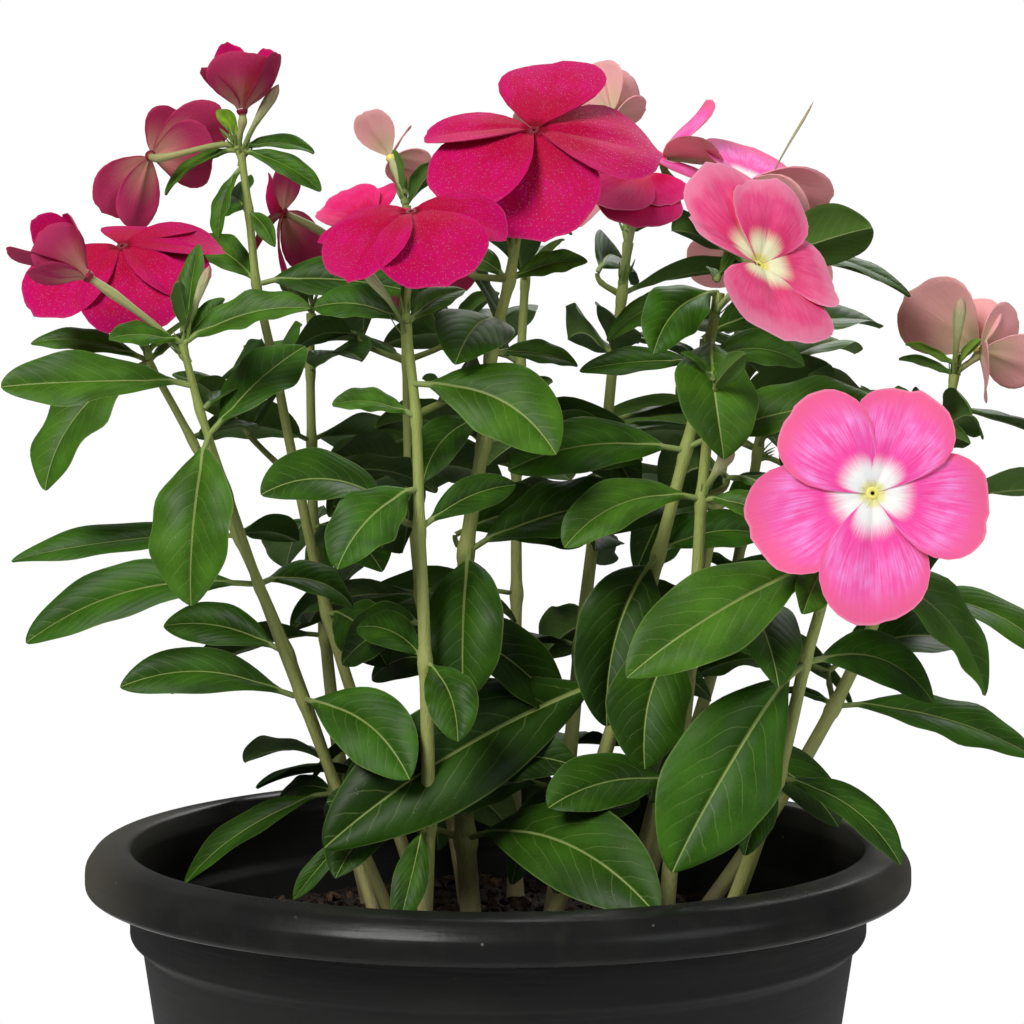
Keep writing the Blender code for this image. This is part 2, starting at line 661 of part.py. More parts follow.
def make_material(name, colour, roughness, metallic=0.0):
    material = bpy.data.materials.new(name)
    material.use_nodes = True
    shader = material.node_tree.nodes["Principled BSDF"]
    shader.inputs["Base Color"].default_value = (*colour, 1)
    shader.inputs["Roughness"].default_value = roughness
    shader.inputs["Metallic"].default_value = metallic
    return material


def make_object(name, skin, collection, material=None):
    """An object from a skin's points and faces."""
    mesh = bpy.data.meshes.new(name)
    points, faces = skin
    mesh.from_pydata(points.tolist(), [], faces)
    if material:
        mesh.materials.append(material)
    piece = bpy.data.objects.new(name, mesh)
    collection.objects.link(piece)
    return piece


def turned(name, profile, steps, collection, material):
    """A profile of (radius, height) turned about the z axis by a Screw modifier."""
    mesh = bpy.data.meshes.new(name)
    points = [(radius, 0, height) for radius, height in profile]
    mesh.from_pydata(points, [(k, k + 1) for k in range(len(points) - 1)], [])
    mesh.materials.append(material)
    piece = bpy.data.objects.new(name, mesh)
    collection.objects.link(piece)
    screw = piece.modifiers.new("turn", "SCREW")
    screw.steps = steps
    screw.render_steps = steps
    screw.use_merge_vertices = True
    screw.merge_threshold = 1e-5
    screw.use_smooth_shade = False
    return piece


def volume_of(faces):
    """Six times the signed volume under a group of triangles."""
    total = 0.0
    for face in faces:
        first, second, third = (vertex.co for vertex in face.verts)
        total += first.dot(second.cross(third))
    return total


def keep_largest(mesh, merge):
    """Keep only the largest closed skin: a sealed hollow is filled and loose scrap is dropped.
    Says whether what is left is closed."""
    work = bmesh.new()
    work.from_mesh(mesh)
    bmesh.ops.remove_doubles(work, verts=work.verts, dist=merge)
    bmesh.ops.triangulate(work, faces=work.faces)
    unseen = set(work.faces)
    groups = []
    while unseen:
        group = {unseen.pop()}
        front = list(group)
        while front:
            face = front.pop()
            for edge in face.edges:
                for other in edge.link_faces:
                    if other in unseen:
                        unseen.remove(other)
                        group.add(other)
                        front.append(other)
        groups.append(group)
    groups.sort(key=volume_of, reverse=True)
    for group in groups[1:]:
        bmesh.ops.delete(work, geom=list(group), context="FACES")
    bmesh.ops.delete(work, geom=[v for v in work.verts if not v.link_faces], context="VERTS")
    closed = all(len(edge.link_faces) == 2 for edge in work.edges)
    work.to_mesh(mesh)
    work.free()
    return closed


def fuse(name, skins, collection, material):
    """One closed solid from a shoot's pieces: one union with all that the collection holds."""
    base = make_object(name, skins[0], collection, material)
    joined = bpy.data.collections.new(name + "_pieces")
    bpy.context.scene.collection.children.link(joined)
    for number, skin in enumerate(skins[1:]):
        make_object(f"{name}_piece_{number}", skin, joined)
    union = base.modifiers.new("union", "BOOLEAN")
    union.operation = "UNION"
    union.operand_type = "COLLECTION"
    union.collection = joined
    for solver, merge in UNION_TRIES:
        union.solver = solver
        evaluated = base.evaluated_get(bpy.context.evaluated_depsgraph_get())
        mesh = bpy.data.meshes.new_from_object(evaluated)
        if keep_largest(mesh, merge):
            break
    base.modifiers.remove(union)
    base.data = mesh
    base.data.materials.clear()
    base.data.materials.append(material)
    for piece in list(joined.objects):
        bpy.data.objects.remove(piece)
    bpy.data.collections.remove(joined)
    return base


def make_pot(parts, cutters):
    """The nursery pot, with its drain holes in a ring and the middle of its floor solid."""
    plastic = make_material("black_plastic", (0.022, 0.023, 0.025), 0.38)
    pot = turned("pot", pot_profile(), POT_STEPS, parts, plastic)
    for number in range(DRAIN_HOLES):
        angle = 2 * math.pi * number / DRAIN_HOLES
        place = (DRAIN_CIRCLE * math.cos(angle), DRAIN_CIRCLE * math.sin(angle), FLOOR / 2)
        bpy.ops.mesh.primitive_cylinder_add(vertices=12, radius=DRAIN_RADIUS, depth=3 * FLOOR, location=place)
        hole = bpy.context.object
        hole.name = f"drain_hole_{number}"
        for owner in list(hole.users_collection):
            owner.objects.unlink(hole)
        cutters.objects.link(hole)
        hole.hide_render = True
        hole.display_type = "WIRE"
    cut = pot.modifiers.new("drain", "BOOLEAN")
    cut.operation = "DIFFERENCE"
    cut.operand_type = "COLLECTION"
    cut.collection = cutters
    cut.solver = "EXACT"


def make_soil(parts):
    """The potting mix, from the pot's floor to a level top under the rim."""
    mix = make_material("potting_mix", (0.03, 0.02, 0.014), 0.95)
    foot = FLOOR + GAP
    profile = [
        (0, SOIL_TOP),
        (pot_radius(SOIL_TOP) - WALL - GAP, SOIL_TOP),
        (pot_radius(foot) - WALL - GAP, foot),
        (0, foot),
    ]
    turned("soil", profile, POT_STEPS, parts, mix)


def clear_scene():
    for item in list(bpy.data.objects):
        bpy.data.objects.remove(item)


def new_collection(name):
    collection = bpy.data.collections.new(name)
    bpy.context.scene.collection.children.link(collection)
    return collection


def main():
    clear_scene()
    parts = new_collection("potted_madagascar_periwinkle")
    cutters = new_collection("cutters")
    make_pot(parts, cutters)
    make_soil(parts)
    bark = make_material("stem", (0.24, 0.27, 0.09), 0.55)
    green = make_material("foliage", (0.03, 0.12, 0.02), 0.4)
    stems, masses = grow()
    for name, skin in stems.items():
        make_object("stem_" + name, skin, parts, bark)
    for name, skins in masses.items():
        fuse("shoot_" + name, skins, parts, green)


main()
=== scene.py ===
"""Dresses the potted Madagascar periwinkle: the pot, its potting mix, the stems, leaves and blooms."""

import math
import random

import bmesh
import bpy
import numpy as np
from mathutils.bvhtree import BVHTree
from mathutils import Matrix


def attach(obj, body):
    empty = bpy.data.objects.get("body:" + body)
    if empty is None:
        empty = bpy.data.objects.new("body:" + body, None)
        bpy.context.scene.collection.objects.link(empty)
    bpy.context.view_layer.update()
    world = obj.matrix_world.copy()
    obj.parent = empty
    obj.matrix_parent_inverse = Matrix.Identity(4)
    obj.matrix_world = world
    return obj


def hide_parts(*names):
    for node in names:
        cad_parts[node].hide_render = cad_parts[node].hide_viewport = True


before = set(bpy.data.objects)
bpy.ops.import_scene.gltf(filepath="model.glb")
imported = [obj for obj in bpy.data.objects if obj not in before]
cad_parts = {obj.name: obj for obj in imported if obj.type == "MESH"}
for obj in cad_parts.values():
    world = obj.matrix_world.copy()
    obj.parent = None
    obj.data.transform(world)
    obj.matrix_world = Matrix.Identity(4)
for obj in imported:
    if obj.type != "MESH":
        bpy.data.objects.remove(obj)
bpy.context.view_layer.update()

MM = 0.001


# Pot. A round nursery pot, moulded in one piece from black polypropylene. Its rim is turned down
# all round and stepped underneath, a plain band follows, and the wall tapers to a foot with drain
# holes. It is satin, dusty in places, and scuffed where it has been handled.
POT_HEIGHT = 160 * MM
RIM_RADIUS = 95 * MM
RIM_DEPTH = 9.5 * MM
RIM_ROUND = 5 * MM
CREST_RADIUS = 88.5 * MM
WALL = 1.8 * MM
BAND_RADIUS = 85 * MM
BAND_DEPTH = 21 * MM
BAND_STEP = 2.7 * MM
BASE_RADIUS = 62 * MM
FOOT_ROUND = 2.5 * MM
FLOOR = 2.5 * MM
DRAIN_HOLES = 6
DRAIN_RADIUS = 6 * MM
DRAIN_CIRCLE = 40 * MM
POT_SIDES = 160
POT_BLACK = (0.0110, 0.0115, 0.0112)
POT_DUST = (0.090, 0.084, 0.064)


class Wire:
    """A socket of a material's nodes, so that shader maths reads as an expression on values."""

    def __init__(self, tree, socket):
        self.tree = tree
        self.socket = socket

    def maths(self, operation, *others):
        node = self.tree.nodes.new("ShaderNodeMath")
        node.operation = operation
        for slot, value in zip(node.inputs, (self, *others)):
            plug(self.tree, slot, value)
        return Wire(self.tree, node.outputs[0])

    def __add__(self, other):
        return self.maths("ADD", other)

    def __sub__(self, other):
        return self.maths("SUBTRACT", other)

    def __rsub__(self, other):
        return self.maths("MULTIPLY", -1.0).maths("ADD", other)

    def __mul__(self, other):
        return self.maths("MULTIPLY", other)

    def __truediv__(self, other):
        return self.maths("DIVIDE", other)

    def __pow__(self, other):
        return self.maths("POWER", other)

    __radd__ = __add__
    __rmul__ = __mul__


def plug(tree, slot, value):
    """Links a wire to a socket, or sets the socket to a number or a colour."""
    if isinstance(value, Wire):
        tree.links.new(value.socket, slot)
    elif isinstance(value, tuple) and slot.type == "RGBA":
        slot.default_value = (*value[:3], 1.0)
    else:
        slot.default_value = value


class Finish:
    """A material being made: its node tree and its Principled shader."""

    def __init__(self, name, **fixed):
        self.material = bpy.data.materials.new(name)
        self.material.use_nodes = True
        self.tree = self.material.node_tree
        self.shader = self.tree.nodes["Principled BSDF"]
        for socket, value in fixed.items():
            self.set(socket.replace("_", " "), value)

    def set(self, socket, value):
        plug(self.tree, self.shader.inputs[socket], value)

    def node(self, kind, settings=None, inputs=None, output=0):
        """Any node: its settings first, then the values or links of its sockets."""
        node = self.tree.nodes.new("ShaderNode" + kind)
        for name, value in (settings or {}).items():
            setattr(node, name, value)
        for name, value in (inputs or {}).items():
            plug(self.tree, node.inputs[name], value)
        return Wire(self.tree, node.outputs[output])

    def mix(self, share, first, second):
        """The second colour over the first, by a share."""
        return self.node("Mix", {"data_type": "RGBA"}, {0: share, 6: first, 7: second}, 2)

    def between(self, value, low, high):
        """A smooth step from 0 at low to 1 at high."""
        inputs = {"Value": value, "From Min": low, "From Max": high}
        return self.node("MapRange", {"interpolation_type": "SMOOTHSTEP"}, inputs)

    def noise(self, place, scale, detail=2.0, roughness=0.5):
        inputs = {"Vector": place, "Scale": scale, "Detail": detail, "Roughness": roughness}
        return self.node("TexNoise", None, inputs)

    def stretch(self, place, scale):
        return self.node("Mapping", None, {"Vector": place, "Scale": scale})

    def cells(self, place, scale):
        """The distance to the nearest of many scattered points."""
        return self.node("TexVoronoi", None, {"Vector": place, "Scale": scale})

    def place(self):
        return self.node("TexCoord", None, None, "Object")

    def own_map(self):
        return self.node("UVMap", {"uv_map": "OFBake"})

    def axis(self, place, name):
        return self.node("SeparateXYZ", None, {0: place}, name)

    def cover(self, colour, roughness, height, depth):
        """What changes over the surface: its colour, its roughness and its relief."""
        self.set("Base Color", colour)
        self.set("Roughness", roughness)
        self.set("Normal", self.node("Bump", None, {"Height": height, "Distance": depth}))


def soften(outline, reach, steps=4):
    """An outline whose corners are cut by curves: each leaves and enters its straight sides at
    `reach` from the corner, or at 45% of a shorter side."""
    outline = np.array(outline, float)
    before, corner, after = outline[:-2], outline[1:-1], outline[2:]
    near = np.minimum(reach, 0.45 * np.linalg.norm(before - corner, axis=1))[:, None]
    far = np.minimum(reach, 0.45 * np.linalg.norm(after - corner, axis=1))[:, None]
    start = corner + (before - corner) / np.linalg.norm(before - corner, axis=1)[:, None] * near
    end = corner + (after - corner) / np.linalg.norm(after - corner, axis=1)[:, None] * far
    share = np.linspace(0, 1, steps)[None, :, None]
    curves = ((1 - share) ** 2 * start[:, None] + 2 * share * (1 - share) * corner[:, None]
              + share ** 2 * end[:, None])
    return np.vstack((outline[:1], curves.reshape(-1, 2), outline[-1:]))


def turned(name, outline, sides):
    """A closed body of revolution: points (radius, height) that begin and end on the z axis, each
    carried round a circle."""
    outline = np.asarray(outline)
    angle = np.arange(sides) * 2 * math.pi / sides
    rows = outline[1:-1]
    ring = np.stack((np.cos(angle), np.sin(angle)), axis=1)
    flat = rows[:, None, 0, None] * ring[None]
    high = np.broadcast_to(rows[:, None, 1, None], (*flat.shape[:2], 1))
    points = np.concatenate((flat, high), axis=2).reshape(-1, 3)
    points = np.vstack((points, (0, 0, outline[0, 1]), (0, 0, outline[-1, 1])))
    return new_piece(name, points, ring_faces(len(rows), sides))


def ring_faces(rows, sides):
    """The faces over rings of points, each end closed by a fan to a point; the two points come
    after the rings' own."""
    index = np.arange(rows * sides).reshape(rows, sides)
    after = np.roll(index, -1, axis=1)
    quads = np.stack((index[:-1], index[1:], after[1:], after[:-1]), axis=-1).reshape(-1, 4)
    end = np.full(sides, rows * sides)
    first = np.stack((end, index[0], after[0]), axis=-1)
    last = np.stack((end + 1, after[-1], index[-1]), axis=-1)
    return quads.tolist() + first.tolist() + last.tolist()


def new_piece(name, points, faces, crease=50):
    """An object from points and faces, shaded smooth but for edges sharper than the crease."""
    mesh = bpy.data.meshes.new(name)
    mesh.from_pydata(points.tolist(), [], faces)
    mesh.shade_smooth()
    mesh.set_sharp_from_angle(angle=math.radians(crease))
    piece = bpy.data.objects.new(name, mesh)
    bpy.context.scene.collection.objects.link(piece)
    return piece


def finish_piece(piece, finish, stands_for=()):
    """Gives a piece its material, and says what it rides on and stands for."""
    piece.data.materials.clear()
    piece.data.materials.append(finish.material)
    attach(piece, "root")
    if stands_for:
        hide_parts(*stands_for)


def pot_radius(height):
    """The outer radius of the pot's tapering wall at a height."""
    top = POT_HEIGHT - BAND_DEPTH
    return BASE_RADIUS + (BAND_RADIUS - BAND_STEP - BASE_RADIUS) * min(height / top, 1.0)


def pot_outline():
    """The pot's section, from the middle of its floor up the inside, over the rim and down the
    outside to the middle of its underside. The rim is turned down and hollow underneath."""
    band = POT_HEIGHT - BAND_DEPTH
    lip = POT_HEIGHT - RIM_DEPTH
    hem = RIM_RADIUS - WALL
    inner = [
        (0, FLOOR),
        (pot_radius(FLOOR) - WALL, FLOOR),
        (pot_radius(band) - WALL, band + WALL),
        (BAND_RADIUS - WALL, band + 2 * WALL),
        (BAND_RADIUS - WALL, POT_HEIGHT - RIM_ROUND),
        (CREST_RADIUS - 2 * WALL, POT_HEIGHT - 0.3 * WALL),
    ]
    rim = [
        (CREST_RADIUS - 0.3 * WALL, POT_HEIGHT),
        (RIM_RADIUS - 0.5 * RIM_ROUND, POT_HEIGHT - 0.2 * RIM_ROUND),
        (RIM_RADIUS - 0.5 * MM, POT_HEIGHT - 0.75 * RIM_ROUND),
        (RIM_RADIUS, POT_HEIGHT - RIM_ROUND),
        (RIM_RADIUS, lip + 0.6 * MM),
        (RIM_RADIUS - 0.6 * MM, lip),
    ]
    outer = [
        (hem, lip),
        (hem, POT_HEIGHT - RIM_ROUND),
        (hem - 0.7 * RIM_ROUND, POT_HEIGHT - WALL),
        (BAND_RADIUS + 0.5 * WALL, POT_HEIGHT - WALL),
        (BAND_RADIUS, POT_HEIGHT - RIM_ROUND),
        (BAND_RADIUS, band + 0.4 * MM),
        (pot_radius(band), band - 0.6 * BAND_STEP),
        (pot_radius(FOOT_ROUND), FOOT_ROUND),
        (BASE_RADIUS - FOOT_ROUND, 0),
        (0, 0),
    ]
    return np.vstack((soften(inner + rim[:1], 0.8 * MM, 3)[:-1], soften(rim + outer[:1], 1.2 * MM, 5)[:-1],
                      soften(outer, 0.8 * MM, 4)))


pot = turned("pot_shell", pot_outline(), POT_SIDES)
drill = bpy.data.objects.new("drill", bpy.data.meshes.new("drill"))
bpy.context.scene.collection.objects.link(drill)
drills = bmesh.new()
for number in range(DRAIN_HOLES):
    way = 2 * math.pi * number / DRAIN_HOLES
    size = {"radius1": DRAIN_RADIUS, "radius2": DRAIN_RADIUS, "depth": 4 * FLOOR}
    made = bmesh.ops.create_cone(drills, cap_ends=True, segments=28, **size)
    shift = (DRAIN_CIRCLE * math.cos(way), DRAIN_CIRCLE * math.sin(way), FLOOR / 2)
    bmesh.ops.translate(drills, verts=made["verts"], vec=shift)
drills.to_mesh(drill.data)
drills.free()
cut = pot.modifiers.new("drain", "BOOLEAN")
cut.operation = "DIFFERENCE"
cut.object = drill
cut.solver = "EXACT"
drilled = bpy.data.meshes.new_from_object(pot.evaluated_get(bpy.context.evaluated_depsgraph_get()))
pot.modifiers.clear()
pot.data = drilled
pot.data.shade_smooth()
pot.data.set_sharp_from_angle(angle=math.radians(32))
bpy.data.objects.remove(drill)

plastic = Finish("black_plastic", Specular_IOR_Level=0.17)
spot = plastic.place()
height = plastic.axis(spot, "Z")
haze = plastic.noise(spot, 34.0, 4.0)
blotch = plastic.noise(spot, 90.0, 3.0)
wiped = plastic.noise(plastic.stretch(spot, (60.0, 60.0, 900.0)), 1.0, 3.0)

# Dust lies in clouds, most on the rim, and the rim is also lighter grey at its left and right (±X).
dust = plastic.between(haze, 0.46, 0.74) * 0.5 + plastic.between(blotch, 0.55, 0.75) * 0.25
dust = dust * (plastic.between(height, 0.120, 0.165) * 0.7 + 0.3)
aside = plastic.axis(spot, "X").maths("ABSOLUTE")
rim_sides_lighter = plastic.between(aside, 0.068, 0.095) * plastic.between(height, 0.146, 0.154)

# Upright scuffs and a few pale specks.
scuffs = plastic.noise(plastic.stretch(spot, (420.0, 420.0, 36.0)), 1.0, 4.0, 0.7)
scuff = plastic.between(scuffs, 0.69, 0.74) * plastic.between(blotch, 0.5, 0.62)
speck = 1.0 - plastic.between(plastic.cells(spot, 260.0), 0.05, 0.10)
speck = speck * plastic.between(plastic.noise(spot, 140.0), 0.60, 0.66)
colour = plastic.mix(dust * 0.30, POT_BLACK, POT_DUST)
colour = plastic.mix(rim_sides_lighter * (0.55 + haze * 0.4), colour, POT_DUST)
colour = plastic.mix(scuff * 0.35, colour, (0.10, 0.10, 0.095))
colour = plastic.mix(speck * 0.7, colour, (0.16, 0.15, 0.13))

# The rim is polished by handling, the wall is dull.
polish = plastic.between(height, 0.140, 0.150)
rough = 0.58 - polish * 0.34 + dust * 0.12 + wiped * 0.08 + rim_sides_lighter * 0.15
grain = wiped * 0.35 + blotch * 0.4 + plastic.noise(spot, 900.0) * 0.12
plastic.cover(colour, rough, grain, 0.16 * MM)
finish_piece(pot, plastic, ["pot"])


# Potting mix. Dark peat with bits of bark and fibre, filled to a little under the rim. Its top is
# uneven, and loose crumbs lie on it.
SOIL_TOP = 134 * MM
GAP = 0.3 * MM
SOIL_RINGS = 60
SOIL_SIDES = 180
CRUMBS = 1500
PEAT = (0.013, 0.0095, 0.0065)


def swell(x, y, size, seed):
    """Uneven ground: eight waves of like length in directions drawn at random, added up."""
    chance = np.random.default_rng(seed)
    total = np.zeros_like(x)
    for way, phase in zip(chance.uniform(0, math.pi, 8), chance.uniform(0, 2 * math.pi, 8)):
        total += np.sin((x * math.cos(way) + y * math.sin(way)) / size * 2 * math.pi + phase)
    return total / 8


def soil_height(x, y):
    """The mix's top: broad mounds, lumps and crumbs."""
    return (swell(x, y, 47 * MM, 1) * 2.2 * MM + swell(x, y, 11 * MM, 2) * 1.3 * MM
            + swell(x, y, 4.3 * MM, 3) * 0.9 * MM + swell(x, y, 2.3 * MM, 4) * 0.5 * MM)


def soil_bed():
    """The mix: a disc of rings whose height is the uneven top, then the pot's wall down to its floor."""
    edge = pot_radius(SOIL_TOP) - WALL - GAP
    foot = FLOOR + GAP
    radius = edge * np.linspace(0, 1, SOIL_RINGS) ** 0.8
    angle = np.arange(SOIL_SIDES) * 2 * math.pi / SOIL_SIDES
    x, y = radius[:, None] * np.cos(angle), radius[:, None] * np.sin(angle)
    z = SOIL_TOP + soil_height(x, y)
    top = np.stack((x, y, z), axis=-1)[1:]
    low = pot_radius(foot) - WALL - GAP
    wall = np.stack((low * np.cos(angle), low * np.sin(angle), np.full(SOIL_SIDES, foot)), axis=-1)
    rows = np.concatenate((top, wall[None]))
    points = np.vstack((rows.reshape(-1, 3), (0, 0, z[0, 0]), (0, 0, foot)))
    return new_piece("potting_mix_bed", points, ring_faces(len(rows), SOIL_SIDES), 180)


ICOSAHEDRON = [
    (0, 11, 5), (0, 5, 1), (0, 1, 7), (0, 7, 10), (0, 10, 11), (1, 5, 9), (5, 11, 4), (11, 10, 2), (10, 7, 6),
    (7, 1, 8), (3, 9, 4), (3, 4, 2), (3, 2, 6), (3, 6, 8), (3, 8, 9), (4, 9, 5), (2, 4, 11), (6, 2, 10),
    (8, 6, 7), (9, 8, 1),
]


def crumbs(name, count, least, most, flat, seed):
    """Loose bits on the mix: twelve-cornered lumps, each corner pushed in or out, turned at random
    and pressed a third of its size into the top."""
    chance = np.random.default_rng(seed)
    golden = (1 + 5 ** 0.5) / 2
    corners = [(-1, golden, 0), (1, golden, 0), (-1, -golden, 0), (1, -golden, 0)]
    corners += [(0, a, b) for a, b, _ in corners]
    corners += [(b, 0, a) for a, b, _ in corners[:4]]
    corners = np.array(corners, float)
    corners /= np.linalg.norm(corners[0])
    size = least + (most - least) * chance.random(count) ** 2.2
    lumps = corners[None] * chance.uniform(0.6, 1.15, (count, 12, 1)) * (1.0, 0.75, flat)
    axes = np.linalg.qr(chance.normal(size=(count, 3, 3)) + np.eye(3) * 1.2)[0]
    axes *= np.sign(np.linalg.det(axes))[:, None, None]
    lumps = np.einsum("nij,nkj->nki", axes, lumps) * size[:, None, None]
    far = (pot_radius(SOIL_TOP) - WALL - 4 * MM) * np.sqrt(chance.random(count))
    way = chance.uniform(0, 2 * math.pi, count)
    x, y = far * np.cos(way), far * np.sin(way)
    z = SOIL_TOP + soil_height(x, y) + size * 0.3
    points = (lumps + np.stack((x, y, z), axis=-1)[:, None]).reshape(-1, 3)
    faces = np.array(ICOSAHEDRON)[None] + 12 * np.arange(count)[:, None, None]
    return new_piece(name, points, faces.reshape(-1, 3).tolist(), 30)


def peat_finish(name, dark, light):
    peat = Finish(name, Specular_IOR_Level=0.2)
    spot = peat.place()
    grain = peat.noise(spot, 420.0, 5.0, 0.65)
    fibre = peat.noise(peat.stretch(spot, (1500.0, 300.0, 700.0)), 1.0, 3.0)
    colour = peat.mix(peat.between(grain + fibre * 0.3, 0.52, 0.86), dark, light)
    peat.cover(colour, 0.78 + grain * 0.25, grain + fibre * 0.4, 1.1 * MM)
    return peat


finish_piece(soil_bed(), peat_finish("peat", PEAT, (0.050, 0.034, 0.021)), ["soil"])
dark_crumbs = crumbs("crumbs_peat", CRUMBS, 0.5 * MM, 2.4 * MM, 0.7, 11)
finish_piece(dark_crumbs, peat_finish("peat_crumb", PEAT, (0.040, 0.027, 0.017)))
bark_bits = crumbs("crumbs_bark", CRUMBS // 4, 0.7 * MM, 3.6 * MM, 0.28, 12)
bark_bit = peat_finish("bark_bit", (0.045, 0.027, 0.016), (0.15, 0.095, 0.055))
finish_piece(bark_bits, bark_bit)


# Stems. Fifteen shoots rise from the mix, each on a smooth green stem that thickens at the joints
# where its leaves leave it, and turns brown and corky near the soil. All placing of leaves, twigs
# and blooms follows one rule: crossed pairs, largest low down, each kept clear of the others.
FOOT_RADIUS = 2.1 * MM
TIP_RADIUS = 1.15 * MM
FOOT_FLARE = 1.3
FLARE_HEIGHT = 4 * MM
JOINT_SHRINK = 0.82
TWIG_RADIUS = 0.8 * MM
TWIG_STATIONS = 13
SPRAY_RISE = 0.15
BARE_SHOOTS = ("front_left", "left", "back_left", "rear_left")
AXIL_SHARE = 0.62
AXIL_LENGTHS = (7, 14)
STALK_SHARE = 0.11
STALK_RADIUS = 0.65 * MM
LEAF_WIDTH = 0.42
LEAF_THICKNESS = 1.0 * MM
LEAF_FOLD = 0.1
LEAF_STATIONS = (0.0, 0.27, 0.7)
LIGHT_RISE = 0.6
LIGHT_TURN = 0.8
MOST_TURN = 62
CLUMP_CENTRE = np.array((0.0, 12.0, 0.0)) * MM
FRONT = np.array((0.0, -1.0, 0.0))
TUBE_RADII = np.array((1.0, 1.0, 1.1, 1.3, 1.8)) * MM
PETALS = 5
PETAL_THICKNESS = 0.9 * MM
PETAL_OUTLINE = ((-36, 0.72), (-19, 0.98), (19, 0.98))
PETAL_STATIONS = (0.5, 1.0)
DROOP = 0.45
BUD_RADIUS = 1.7 * MM
BUD_RADII = np.array((0.5, 0.45, 0.55, 1.0, 0.7)) * BUD_RADIUS
CLEARANCE = 0.35 * MM
TRIES = 14
SEED = 23
STEM_SIDES = 5
WALL_SIDES = 36


class Shoot:
    """One shoot. base: where it leaves the soil. tip: where its stem ends. bow: how far its middle
    is pushed aside. bare: the share of it below its lowest leaves. pairs: its pairs of leaves.
    turn: the heading of its lowest leaf (0 is +X). leaf: the length of its largest leaves. twigs:
    the joints that a twig leaves from. stout: its foot against the usual one. Lengths in mm."""

    def __init__(self, base, tip, bow, bare, pairs, turn, leaf, twigs=(), stout=1.0):
        self.base = np.array((*base, SOIL_TOP / MM + GAP / MM)) * MM
        self.tip = np.array(tip) * MM
        self.bow = np.array((*bow, 0)) * MM
        self.turn = turn
        self.leaf = leaf * MM
        self.twigs = twigs
        self.foot = FOOT_RADIUS * stout
        steps = JOINT_SHRINK ** np.arange(pairs - 1)
        self.joints = bare + (1 - bare) * np.concatenate(([0], np.cumsum(steps) / steps.sum()))

    def point(self, share):
        """The stem's centre at a share of its height: a straight rise, bowed at the middle."""
        return self.base + (self.tip - self.base) * share + self.bow * 4 * share * (1 - share)

    def radius(self, share):
        """The stem's radius: an even taper with a flare at the foot."""
        flare = 1 + (FOOT_FLARE - 1) * np.exp(-share * (self.tip[2] - self.base[2]) / FLARE_HEIGHT)
        return (self.foot + (TIP_RADIUS - self.foot) * share) * flare


SHOOTS = {
    "front_left": Shoot((-20, -18), (-66, -48, 272), (-3, 0), 0.22, 6, 185, 42),
    "left": Shoot((-27, 0), (-80, -7, 270), (4, 2), 0.26, 5, 165, 44),
    "back_left": Shoot((-16, 10), (-62, 14, 321), (-6, 3), 0.20, 7, 20, 42, (2,)),
    "centre_left": Shoot((-17, -42), (-19, -50, 276), (3, 0), 0.25, 5, 215, 38),
    "centre": Shoot((-5, -22), (5, -32, 300), (-7, 3), 0.17, 7, 20, 42, (), 1.3),
    "back_centre": Shoot((-8, 34), (-24, 50, 312), (-5, 4), 0.22, 6, 60, 42, (3,)),
    "right_centre": Shoot((10, -14), (48, -30, 284), (2, -3), 0.20, 6, 250, 44),
    "right_inner": Shoot((36, -30), (46, -42, 262), (0, 2), 0.33, 4, 200, 40),
    "right_front": Shoot((46, -24), (68, -61, 226), (2, -3), 0.50, 3, 225, 52),
    "far_right": Shoot((46, 14), (112, 28, 268), (9, -2), 0.40, 5, 350, 44, (2,)),
    "right_back": Shoot((30, 22), (62, 14, 306), (4, 6), 0.22, 7, 40, 44),
    "centre_back": Shoot((12, 12), (31, 24, 300), (0, 4), 0.20, 7, 110, 42, (4,)),
    "rear": Shoot((4, 52), (8, 86, 314), (-2, 8), 0.20, 6, 80, 48, (2,)),
    "rear_left": Shoot((-32, 36), (-50, 74, 286), (-6, 6), 0.22, 6, 130, 46, (1,)),
    "rear_right": Shoot((36, 44), (72, 70, 284), (6, 8), 0.20, 6, 50, 48, (1,)),
}

